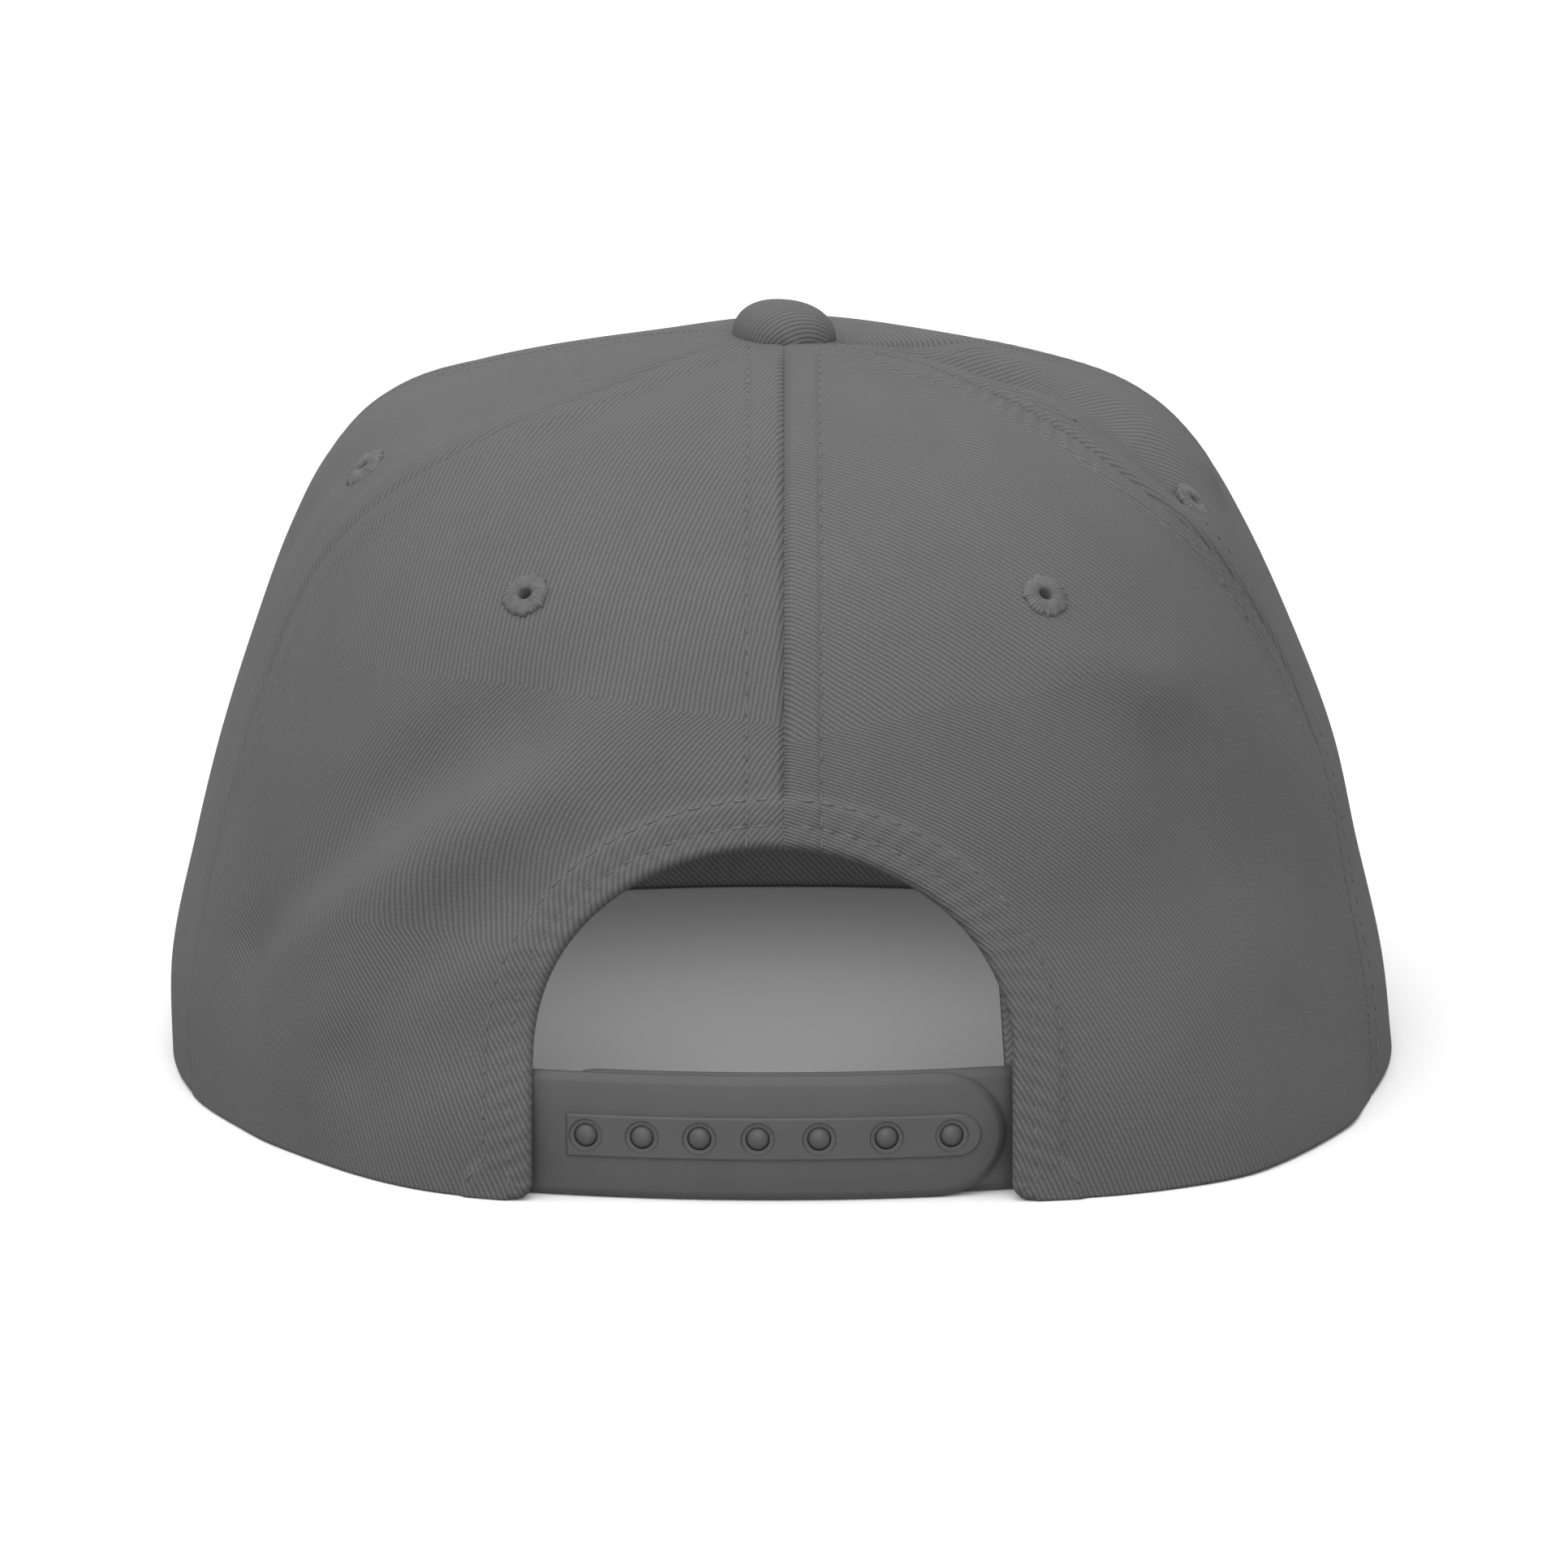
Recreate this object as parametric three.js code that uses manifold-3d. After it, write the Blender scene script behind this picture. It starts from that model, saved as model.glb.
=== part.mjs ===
// A flat bill cap with a five-panel crown, a covered button, four sewn eyelets, a flat bill,
// a sweatband, and an arched opening at the back that two snap straps close.
// Millimetres. +Z is up, +Y is the wearer's front, +X is the wearer's right. The cap rests on its rim.
import * as THREE from "three";
import { mergeVertices } from "three/addons/utils/BufferGeometryUtils.js";
import Module from "manifold-3d";

const wasm = await Module();
wasm.setup();

// Cloth and fits
const WALL = 1.6;
const GAP = 0.3;

// The crown is a stack of level rings. left, right, back and front are the reach of a ring from the
// button's axis, and square is the power of its superellipse: 2 is an ellipse, more is boxier.
const RINGS = [
  { height: 0.0, left: 88.3, right: 88.3, back: 97.0, front: 94.5, square: 2.3 },
  { height: 14.0, left: 88.6, right: 86.6, back: 96.5, front: 96.0, square: 2.3 },
  { height: 30.0, left: 85.2, right: 82.8, back: 95.0, front: 95.5, square: 2.3 },
  { height: 45.0, left: 81.4, right: 79.3, back: 91.5, front: 92.5, square: 2.3 },
  { height: 60.0, left: 76.6, right: 73.5, back: 85.5, front: 86.5, square: 2.3 },
  { height: 74.0, left: 71.4, right: 67.0, back: 76.5, front: 76.5, square: 2.3 },
  { height: 85.0, left: 65.4, right: 60.3, back: 64.0, front: 63.0, square: 2.3 },
  { height: 93.0, left: 56.3, right: 51.5, back: 50.0, front: 48.0, square: 2.3 },
  { height: 98.0, left: 39.5, right: 38.0, back: 34.0, front: 34.5, square: 2.3 },
  { height: 100.8, left: 22.0, right: 21.0, back: 17.0, front: 21.0, square: 2.1 },
  { height: 101.6, left: 0.6, right: 0.6, back: 0.6, front: 0.6, square: 2.0 },
];

// Where the seams cross each ring, in degrees round from the middle of the back, right positive.
const SEAMS = [
  { leftFront: -115, leftBack: -64.0, rightBack: 63.0, rightFront: 115 },
  { leftFront: -114.5, leftBack: -65.0, rightBack: 65.0, rightFront: 114.5 },
  { leftFront: -114, leftBack: -65.5, rightBack: 66.0, rightFront: 114 },
  { leftFront: -112.5, leftBack: -65.0, rightBack: 67.5, rightFront: 112.5 },
  { leftFront: -111, leftBack: -64.0, rightBack: 66.0, rightFront: 111 },
  { leftFront: -109, leftBack: -61.5, rightBack: 61.0, rightFront: 109 },
  { leftFront: -106, leftBack: -55.5, rightBack: 54.0, rightFront: 107 },
  { leftFront: -104, leftBack: -49.0, rightBack: 50.0, rightFront: 105 },
  { leftFront: -103, leftBack: -47.5, rightBack: 49.0, rightFront: 104 },
  { leftFront: -102, leftBack: -47.0, rightBack: 48.5, rightFront: 103 },
  { leftFront: -102, leftBack: -47.0, rightBack: 48.5, rightFront: 103 },
];

// Soft pushes of the cloth outwards, or inwards where push is negative. Each is centred at an angle
// and a height, reaches along and across as a bell does, and leans anticlockwise seen from outside.
const FORMS = [
  { form: "left hem corner", angle: -26, height: 0, along: 26, across: 36, lean: 0, push: 6.2 },
  { form: "right hem corner", angle: 29, height: 0, along: 28, across: 36, lean: 0, push: 7.0 },
  { form: "left long dent", angle: -33, height: 54, along: 24, across: 7, lean: 35, push: -2.2 },
  { form: "left fold", angle: -33, height: 43, along: 22, across: 6, lean: 40, push: 1.5 },
  { form: "left lower dent", angle: -27, height: 38, along: 15, across: 6, lean: 40, push: -1.5 },
  { form: "left side hollow", angle: -53, height: 27, along: 7, across: 20, lean: 0, push: -1.4 },
  { form: "right side hollow", angle: 39, height: 53, along: 10, across: 16, lean: 15, push: -2.0 },
  { form: "right shoulder dip", angle: 60, height: 92, along: 16, across: 7, lean: 12, push: -1.6 },
];

// The arched opening, as seen from behind: straight sides, then half an ellipse on top.
const ARCH = { centre: -1.6, halfWidth: 32.2, spring: 20, rise: 26.8, cornerRadius: 2.5 };

// Panels end round the button's shank.
const TIP_RADIUS = 3.3;
const BUTTON = { radius: 7.45, foot: 6.4, waist: 1.7, height: 5.2, shank: 2.7, shankDrop: 2.6 };

// Sewn eyelets. angle is degrees round from the back and tall is the height of their middle.
const EYELETS = [
  { name: "eyelet_back_left", panel: "back_panel_left", angle: -27.5, tall: 76.7 },
  { name: "eyelet_back_right", panel: "back_panel_right", angle: 28.2, tall: 76.4 },
  { name: "eyelet_side_left", panel: "side_panel_left", angle: -66.5, tall: 87.5 },
  { name: "eyelet_side_right", panel: "side_panel_right", angle: 65.5, tall: 83.0 },
];
const EYELET = { bore: 1.0, neck: 1.9, flange: 3.4, lip: 0.8, clear: 0.5 };

// The bill is a board between two cloths: a thin lower one and an upper one with the board.
const BILL = { halfWidth: 89, length: 69, shoulder: 62, square: 2.7, lower: 1.3, upper: 1.9, horn: 116 };
const BILL_TOP = BILL.lower + GAP + BILL.upper;

// The sweatband ends either side of the arch. It stands off the crown's wall by lining, and by
// standOff near the straps. easeFrom and easeTo are degrees from the back where that begins and ends.
const SWEATBAND = { bottom: 0.6, top: 27.5, thickness: 1.2, leftEnd: 22, rightEnd: 19 };
const SWEATBAND_STAND = { lining: 0.5, standOff: 7.2, easeFrom: 48, easeTo: 34 };

// The straps lie on one arc that bows out of the arch. Their ends are places along it, as seen from
// behind, and endStretch makes a rounded end a little longer than a half circle.
const STRAP = { radius: 152, reach: 97.2, middle: -1.5, bottom: 0.3, height: 17.1, thickness: 1.5 };
const STRAP_ROUND = { endStretch: 1.12, lastAngle: 83, arcs: 6, step: 6 };
const STRAP_ENDS = { outerLeft: -41.0, outerRight: 29.0, innerLeft: -34.5, innerRight: 38.5 };
const BAND = { left: -29.3, right: 26.2, height: 5.9, proud: 0.5 };
const SNAP = { count: 7, first: -26.5, pitch: 8.13, lift: 8.6, hole: 2.2, peg: 1.5, dome: 0.5 };

const rad = THREE.MathUtils.degToRad;
const lerp = THREE.MathUtils.lerp;

// A smooth curve through one column of a table; t runs from 0 at the first row to 1 at the last.
function column(rows, key, t) {
  const last = rows.length - 1;
  const x = Math.min(Math.max(t, 0), 1) * last;
  const i = Math.min(Math.floor(x), last - 1);
  const f = x - i;
  const b = rows[i][key];
  const c = rows[i + 1][key];
  const a = i > 0 ? rows[i - 1][key] : 2 * b - c;
  const d = i + 2 <= last ? rows[i + 2][key] : 2 * c - b;
  const bend = 2 * a - 5 * b + 4 * c - d;
  return 0.5 * (2 * b + (c - a) * f + bend * f * f + (3 * b - a - 3 * c + d) * f ** 3);
}

const heightAt = (t) => column(RINGS, "height", t);

// The row parameter of a height, by halving.
function rowOf(height) {
  let low = 0;
  let high = 1;
  for (let step = 0; step < 40; step++) {
    const middle = (low + high) / 2;
    if (heightAt(middle) < height) low = middle;
    else high = middle;
  }
  return (low + high) / 2;
}

// How far the cloth is pushed out at an angle and height.
function pushAt(angle, height, radius) {
  let sum = 0;
  for (const f of FORMS) {
    const s = rad(angle - f.angle) * radius;
    const h = height - f.height;
    const c = Math.cos(rad(f.lean));
    const n = Math.sin(rad(f.lean));
    sum += f.push * Math.exp(-(((s * c + h * n) / f.along) ** 2) - ((h * c - s * n) / f.across) ** 2);
  }
  return sum;
}

// A point of the crown's outside, from its angle in degrees and its row.
function crownPoint(angle, t) {
  const s = Math.sin(rad(angle));
  const c = Math.cos(rad(angle));
  const width = column(RINGS, s < 0 ? "left" : "right", t);
  const depth = column(RINGS, c > 0 ? "back" : "front", t);
  const n = column(RINGS, "square", t);
  const z = heightAt(t);
  const plain = (Math.abs(s / width) ** n + Math.abs(c / depth) ** n) ** (-1 / n);
  const turn = ((((angle + 180) % 360) + 360) % 360) - 180;
  const fade = Math.min(1, plain / 30);
  const r = plain + pushAt(turn, z, plain) * fade;
  return new THREE.Vector3(r * s, -r * c, z);
}

function crownNormal(angle, t) {
  const low = Math.min(Math.max(t, 0.002), 0.985);
  const round = crownPoint(angle + 0.5, low).sub(crownPoint(angle - 0.5, low));
  const up = crownPoint(angle, low + 0.004).sub(crownPoint(angle, low - 0.002));
  return round.cross(up).normalize();
}

// A point inside the crown's outer surface by a depth, never below the surface that it rests on.
function crownInside(angle, t, depth) {
  const p = crownPoint(angle, t).addScaledVector(crownNormal(angle, t), -depth);
  p.z = Math.max(p.z, 0);
  return p;
}

// A geometry from shared vertices and triangles, turned so that its faces point out.
function solidGeometry(points, triangles) {
  let volume = 0;
  const side = new THREE.Vector3();
  for (const [a, b, c] of triangles) {
    volume += points[a].dot(side.crossVectors(points[b], points[c]));
  }
  const faces = volume < 0 ? triangles.map(([a, b, c]) => [a, c, b]) : triangles;
  const g = new THREE.BufferGeometry();
  g.setAttribute("position", new THREE.Float32BufferAttribute(points.flatMap((p) => p.toArray()), 3));
  g.setIndex(faces.flat());
  return g;
}

// A curved sheet with a wall: at(u, v, side) gives its points, side 0 outside and 1 inside.
function sheet(across, along, at) {
  const points = [];
  const triangles = [];
  const id = (side, i, j) => (side * (across + 1) + i) * (along + 1) + j;
  const quad = (a, b, c, d) => triangles.push([a, b, c], [a, c, d]);
  for (let side = 0; side < 2; side++) {
    for (let i = 0; i <= across; i++) {
      for (let j = 0; j <= along; j++) points.push(at(i / across, j / along, side));
    }
  }
  for (let i = 0; i < across; i++) {
    for (let j = 0; j < along; j++) {
      quad(id(0, i, j), id(0, i + 1, j), id(0, i + 1, j + 1), id(0, i, j + 1));
      quad(id(1, i, j), id(1, i, j + 1), id(1, i + 1, j + 1), id(1, i + 1, j));
    }
  }
  for (let i = 0; i < across; i++) {
    quad(id(1, i, 0), id(1, i + 1, 0), id(0, i + 1, 0), id(0, i, 0));
    quad(id(0, i, along), id(0, i + 1, along), id(1, i + 1, along), id(1, i, along));
  }
  for (let j = 0; j < along; j++) {
    quad(id(0, 0, j), id(0, 0, j + 1), id(1, 0, j + 1), id(1, 0, j));
    quad(id(1, across, j), id(1, across, j + 1), id(0, across, j + 1), id(0, across, j));
  }
  return solidGeometry(points, triangles);
}

// Booleans
function toSolid(geometry) {
  const plain = geometry.clone();
  plain.deleteAttribute("normal");
  plain.deleteAttribute("uv");
  const g = mergeVertices(plain, 1e-4);
  return new wasm.Manifold(
    new wasm.Mesh({
      numProp: 3,
      vertProperties: new Float32Array(g.attributes.position.array),
      triVerts: new Uint32Array(g.index.array),
    }),
  );
}

function toGeometry(solid) {
  const m = solid.getMesh();
  const g = new THREE.BufferGeometry();
  g.setAttribute("position", new THREE.BufferAttribute(m.vertProperties, 3));
  g.setIndex(new THREE.BufferAttribute(m.triVerts, 1));
  return g;
}

const cut = (geometry, tools) =>
  toGeometry(tools.reduce((solid, tool) => solid.subtract(toSolid(tool)), toSolid(geometry)));

const join = (geometry, others) =>
  toGeometry(others.reduce((solid, other) => solid.add(toSolid(other)), toSolid(geometry)));

// The tip of every panel lies where the crown's ring is as wide as the shank's hole.
const TIP_ROW = (() => {
  let low = 0.9;
  let high = 1;
  for (let step = 0; step < 30; step++) {
    const middle = (low + high) / 2;
    const p = crownPoint(0, middle);
    if (Math.hypot(p.x, p.y) > TIP_RADIUS) low = middle;
    else high = middle;
  }
  return low;
})();

// Half the sewing gap beside a seam, as an angle on the ring at this row.
function gapAngle(angle, t) {
  const p = crownPoint(angle, t);
  return THREE.MathUtils.radToDeg(GAP / 2 / Math.hypot(p.x, p.y));
}

const SEAM_STEPS = 22;

// A panel between two seams, from the row of its lower edge to its tip.
function gore(from, to, startRow, across) {
  return sheet(across, SEAM_STEPS, (u, v, side) => {
    const t = lerp(startRow, TIP_ROW, v);
    const a = from(t);
    const b = to(t);
    const angle = lerp(a + gapAngle(a, t), b - gapAngle(b, t), u);
    return crownInside(angle, t, side * WALL);
  });
}

// The angle and row of a point that is known as seen from behind.
function behind(x, height) {
  const t = rowOf(height);
  let angle = 0;
  for (let step = 0; step < 25; step++) {
    const p = crownPoint(angle, t);
    const s = Math.min(Math.max(x / Math.hypot(p.x, p.y), -1), 1);
    angle = THREE.MathUtils.radToDeg(Math.asin(s));
  }
  return { angle, t };
}

// The arch's edge on one side, u from the rim to the back seam.
function archEdge(sign, u) {
  const straight = 0.34;
  const foot = ARCH.cornerRadius;
  if (u < straight) {
    const z = ARCH.spring * (u / straight);
    const round = z < foot ? foot - Math.sqrt(foot * foot - (foot - z) ** 2) : 0;
    return behind(ARCH.centre + sign * (ARCH.halfWidth + round), z);
  }
  const seam = sign * (GAP / 2);
  const end = Math.acos((sign * (seam - ARCH.centre)) / ARCH.halfWidth);
  const a = ((u - straight) / (1 - straight)) * end;
  const x = ARCH.centre + sign * ARCH.halfWidth * Math.cos(a);
  return behind(x, ARCH.spring + ARCH.rise * Math.sin(a));
}

// A back panel is a four-sided patch: the arch, the side seam, the rim and the back seam. It is
// blended on a flat map of the crown on which the button is the middle and the rim the outer edge.
function backPanel(sign, sideSeam, along) {
  const toMap = ({ angle, t }) =>
    new THREE.Vector2(Math.sin(rad(angle)), -Math.cos(rad(angle))).multiplyScalar(1 - t);
  const fromMap = (m) => ({
    angle: THREE.MathUtils.radToDeg(Math.atan2(m.x, -m.y)),
    t: 1 - m.length(),
  });
  const archTop = archEdge(sign, 1);
  const archFoot = archEdge(sign, 0);
  const seamEdge = (t) => sideSeam(t) - sign * gapAngle(sideSeam(t), t);
  const tip = { angle: seamEdge(TIP_ROW) / 2, t: TIP_ROW };
  const seamPoint = (u) => {
    const t = lerp(0, TIP_ROW, u);
    return u >= 1 ? tip : { angle: seamEdge(t), t };
  };
  const backPoint = (v) => {
    const t = lerp(archTop.t, TIP_ROW, v);
    return v >= 1 ? tip : { angle: sign * gapAngle(0, t), t };
  };
  const rimPoint = (v) => ({ angle: lerp(archFoot.angle, seamEdge(0), v), t: 0 });
  const blend = (u, v) => {
    const m = new THREE.Vector2();
    m.addScaledVector(toMap(archEdge(sign, u)), 1 - v).addScaledVector(toMap(seamPoint(u)), v);
    m.addScaledVector(toMap(rimPoint(v)), 1 - u).addScaledVector(toMap(backPoint(v)), u);
    m.addScaledVector(toMap(archFoot), -(1 - u) * (1 - v)).addScaledVector(toMap(archTop), -u * (1 - v));
    m.addScaledVector(toMap(seamPoint(0)), -(1 - u) * v).addScaledVector(toMap(tip), -u * v);
    return fromMap(m);
  };
  return sheet(SEAM_STEPS, along, (u, v, side) => {
    const { angle, t } = blend(u, v);
    return crownInside(angle, Math.max(t, 0), side * WALL);
  });
}

// Stands a shape that was made round the z axis on the crown, its z axis along the cloth's normal.
function onCrown(geometry, angle, tall) {
  const t = rowOf(tall);
  const turn = new THREE.Quaternion().setFromUnitVectors(new THREE.Vector3(0, 0, 1), crownNormal(angle, t));
  const m = new THREE.Matrix4().compose(crownPoint(angle, t), turn, new THREE.Vector3(1, 1, 1));
  return geometry.applyMatrix4(m);
}

const latheUp = (profile, sides) =>
  new THREE.LatheGeometry(profile.map(([r, z]) => new THREE.Vector2(r, z)), sides).rotateX(Math.PI / 2);

// An eyelet grips the cloth between its two flanges.
function eyelet({ angle, tall }) {
  const { bore, neck, flange, lip, clear } = EYELET;
  const out = clear;
  const inside = -WALL - clear;
  const profile = [
    [bore, inside - lip * 0.6],
    [bore, out + lip * 0.7],
    [(bore + flange) / 2, out + lip],
    [flange, out + lip * 0.3],
    [flange - 0.2, out],
    [neck, out],
    [neck, inside],
    [flange - 0.5, inside],
    [flange - 0.5, inside - lip * 0.6],
    [bore, inside - lip * 0.6],
  ];
  return onCrown(latheUp(profile.reverse(), 16), angle, tall);
}

function eyeletHole({ angle, tall }) {
  const radius = EYELET.neck + GAP;
  return onCrown(new THREE.CylinderGeometry(radius, radius, 12, 16).rotateX(Math.PI / 2), angle, tall);
}

function buttonGeometry() {
  const base = RINGS.at(-1).height + GAP;
  const { radius, foot, waist, height, shank, shankDrop } = BUTTON;
  const bottom = base - shankDrop - WALL;
  const profile = [[0, bottom], [shank, bottom], [shank, base], [foot, base]];
  profile.push([radius - 0.25, base + waist * 0.45], [radius, base + waist]);
  const steps = 5;
  for (let k = 1; k < steps; k++) {
    const a = (k / steps) * (Math.PI / 2);
    profile.push([radius * Math.cos(a), base + waist + (height - waist) * Math.sin(a)]);
  }
  profile.push([0, base + height]);
  return latheUp(profile, 24);
}

// The bill's outline: out from the crown's front seams to a squared front edge, and back along the crown.
function billOutline() {
  const front = column(RINGS, "front", rowOf(BILL_TOP)) + BILL.length;
  const depth = front - BILL.shoulder;
  const pts = [];
  const steps = 36;
  for (let k = 0; k <= steps; k++) {
    const a = (k / steps) * Math.PI;
    const c = Math.cos(a);
    const x = BILL.halfWidth * Math.sign(c) * Math.abs(c) ** (2 / BILL.square);
    pts.push(new THREE.Vector2(x, BILL.shoulder + depth * Math.sin(a) ** (2 / BILL.square)));
  }
  const t = rowOf(BILL_TOP / 2);
  const rimSteps = 30;
  for (let k = 0; k <= rimSteps; k++) {
    const p = crownInside(lerp(BILL.horn - 360, -BILL.horn, 1 - k / rimSteps), t, WALL);
    pts.push(new THREE.Vector2(p.x, p.y));
  }
  return pts;
}

function plate(outline, bottom, thickness) {
  const shape = new THREE.Shape(outline);
  const g = new THREE.ExtrudeGeometry(shape, { depth: thickness, bevelEnabled: false });
  return g.translate(0, 0, bottom);
}

// The sweatband lines the crown, and stands off it at the back, where the straps lie between.
function sweatbandGeometry() {
  const { bottom, top, thickness, leftEnd, rightEnd } = SWEATBAND;
  const { lining, standOff, easeFrom, easeTo } = SWEATBAND_STAND;
  const heights = [bottom, (bottom + top) / 2, top];
  return sheet(64, heights.length - 1, (u, v, side) => {
    const angle = lerp(-leftEnd, rightEnd - 360, u);
    const fromBack = Math.min(Math.abs(angle), Math.abs(angle + 360));
    const straps = THREE.MathUtils.smoothstep(easeFrom - fromBack, 0, easeFrom - easeTo);
    const clear = WALL + lerp(lining, standOff, straps) + side * thickness;
    const tall = heights[Math.round(v * (heights.length - 1))];
    const p = crownPoint(angle, rowOf(tall));
    const out = new THREE.Vector2(p.x, p.y).normalize();
    return new THREE.Vector3(p.x - out.x * clear, p.y - out.y * clear, tall);
  });
}

// A point of the straps' arc: x along it as seen from behind, depth in from its outer face.
function strapPoint(x, depth, z) {
  const a = (x - STRAP.middle) / STRAP.radius;
  const r = STRAP.radius - depth;
  const centre = -STRAP.reach + STRAP.radius;
  return new THREE.Vector3(STRAP.middle + r * Math.sin(a), centre - r * Math.cos(a), z);
}

// A strap bent onto the arc. The end at round is a half round, and the other end is square.
function bentStrap(square, round, low, high, depth) {
  const { endStretch, lastAngle, arcs, step } = STRAP_ROUND;
  const toRight = Math.sign(round - square);
  const half = (high - low) / 2;
  const reach = half * endStretch;
  const start = round - toRight * reach;
  const straight = Math.ceil(Math.abs(start - square) / step);
  const columns = [];
  for (let k = 0; k < straight; k++) columns.push({ x: lerp(square, start, k / straight), half });
  for (let k = 0; k <= arcs; k++) {
    const a = rad((k / arcs) * lastAngle);
    columns.push({ x: start + toRight * reach * Math.sin(a), half: half * Math.cos(a) });
  }
  return sheet(columns.length - 1, 2, (u, v, side) => {
    const { x, half: here } = columns[Math.round(u * (columns.length - 1))];
    return strapPoint(x, depth + side * STRAP.thickness, STRAP.bottom + low + half + here * (2 * v - 1));
  });
}

const snapX = (k) => SNAP.first + k * SNAP.pitch;

// A round rod through the straps at x, from one depth to another.
function rod(x, radius, from, to, dome) {
  const z = STRAP.bottom + SNAP.lift;
  const inner = strapPoint(x, to, z);
  const axis = strapPoint(x, from, z).sub(inner);
  const length = axis.length();
  const profile = [[0, 0], [radius, 0], [radius, length - dome]];
  profile.push([radius * 0.6, length - dome * 0.2], [0, length]);
  const turn = new THREE.Quaternion().setFromUnitVectors(new THREE.Vector3(0, 0, 1), axis.normalize());
  const m = new THREE.Matrix4().compose(inner, turn, new THREE.Vector3(1, 1, 1));
  return latheUp(profile, 12).applyMatrix4(m);
}

function outerStrap() {
  const low = SNAP.lift - BAND.height / 2;
  const body = bentStrap(STRAP_ENDS.outerLeft, STRAP_ENDS.outerRight, 0, STRAP.height, 0);
  const band = bentStrap(BAND.left, BAND.right, low, low + BAND.height, -BAND.proud);
  const holes = [];
  for (let k = 0; k < SNAP.count; k++) {
    holes.push(rod(snapX(k), SNAP.hole, -BAND.proud - 2, STRAP.thickness + 2, 0.1));
  }
  return cut(join(body, [band]), holes);
}

function innerStrap() {
  const depth = STRAP.thickness + GAP;
  const body = bentStrap(STRAP_ENDS.innerRight, STRAP_ENDS.innerLeft, 0, STRAP.height, depth);
  const pegs = [];
  for (let k = 0; k < SNAP.count; k++) {
    pegs.push(rod(snapX(k), SNAP.peg, -SNAP.dome * 0.4, depth + STRAP.thickness / 2, SNAP.dome));
  }
  return join(body, pegs);
}

// Colours and finishes
const TWILL = { color: 0x6b6b6d, roughness: 0.95, metalness: 0 };
const THREAD = { color: 0x747476, roughness: 0.85, metalness: 0 };
const PLASTIC = { color: 0x5f5f61, roughness: 0.55, metalness: 0 };

const cap = new THREE.Group();

function add(name, geometry, finish) {
  const mesh = new THREE.Mesh(geometry, new THREE.MeshStandardMaterial(finish));
  mesh.name = name;
  cap.add(mesh);
}

const seam = (key) => (t) => column(SEAMS, key, t);
const roundFront = (t) => column(SEAMS, "leftFront", t) + 360;

const panels = {
  front_panel: gore(seam("rightFront"), roundFront, rowOf(BILL_TOP + GAP), 22),
  side_panel_left: gore(seam("leftFront"), seam("leftBack"), 0, 9),
  side_panel_right: gore(seam("rightBack"), seam("rightFront"), 0, 9),
  back_panel_left: backPanel(-1, seam("leftBack"), 14),
  back_panel_right: backPanel(1, seam("rightBack"), 14),
};
for (const [name, geometry] of Object.entries(panels)) {
  const holes = EYELETS.filter((e) => e.panel === name).map(eyeletHole);
  add(name, holes.length ? cut(geometry, holes) : geometry, TWILL);
}
for (const e of EYELETS) add(e.name, eyelet(e), THREAD);
add("button", buttonGeometry(), TWILL);
add("bill_upper", plate(billOutline(), BILL.lower + GAP, BILL.upper), TWILL);
add("bill_lower", plate(billOutline(), 0, BILL.lower), TWILL);
add("sweatband", sweatbandGeometry(), TWILL);
add("snap_strap_outer", outerStrap(), PLASTIC);
add("snap_strap_inner", innerStrap(), PLASTIC);

// The origin is the middle of the cap's outline on the surface that it rests on.
const box = new THREE.Box3().setFromObject(cap);
cap.position.set(-(box.min.x + box.max.x) / 2, -(box.min.y + box.max.y) / 2, -box.min.z);

export default cap;
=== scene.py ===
import functools
import math

import bmesh
import bpy
import numpy as np
from bpy.props import FloatProperty, FloatVectorProperty, IntProperty, PointerProperty
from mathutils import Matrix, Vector


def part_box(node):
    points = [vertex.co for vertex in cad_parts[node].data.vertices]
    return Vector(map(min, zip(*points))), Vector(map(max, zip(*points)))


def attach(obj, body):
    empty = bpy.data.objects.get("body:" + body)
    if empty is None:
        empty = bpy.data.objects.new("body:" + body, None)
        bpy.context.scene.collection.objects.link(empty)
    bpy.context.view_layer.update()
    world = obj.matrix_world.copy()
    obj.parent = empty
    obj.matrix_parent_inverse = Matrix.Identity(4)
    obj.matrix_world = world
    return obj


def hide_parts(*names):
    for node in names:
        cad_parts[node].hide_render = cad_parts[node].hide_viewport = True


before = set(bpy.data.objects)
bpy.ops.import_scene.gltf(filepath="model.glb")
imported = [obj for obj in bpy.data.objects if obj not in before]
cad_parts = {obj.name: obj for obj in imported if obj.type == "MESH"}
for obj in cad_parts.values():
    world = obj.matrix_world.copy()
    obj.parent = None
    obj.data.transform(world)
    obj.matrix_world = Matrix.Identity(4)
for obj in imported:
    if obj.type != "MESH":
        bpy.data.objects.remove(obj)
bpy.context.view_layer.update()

bl_info = {
    "name": "Flat Bill Cap",
    "version": (1, 0, 0),
    "blender": (4, 5, 0),
    "location": "View3D > Sidebar > Cap",
    "description": "Makes the looks of a flat bill cap around its packed solids",
    "category": "Add Mesh",
}

MM = 0.001
BODY = "root"


def srgb(code, alpha=1.0):
    """A colour for Blender from an sRGB hex code such as #6a6a6c."""
    parts = [int(code[i : i + 2], 16) / 255 for i in (1, 3, 5)]
    return tuple(p / 12.92 if p <= 0.04045 else ((p + 0.055) / 1.055) ** 2.4 for p in parts) + (alpha,)


# ---- The crown's shape, in millimetres from the button's axis ----

button_low, button_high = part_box("button")
AXIS_Y = (button_low.y + button_high.y) / 2 / MM

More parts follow.
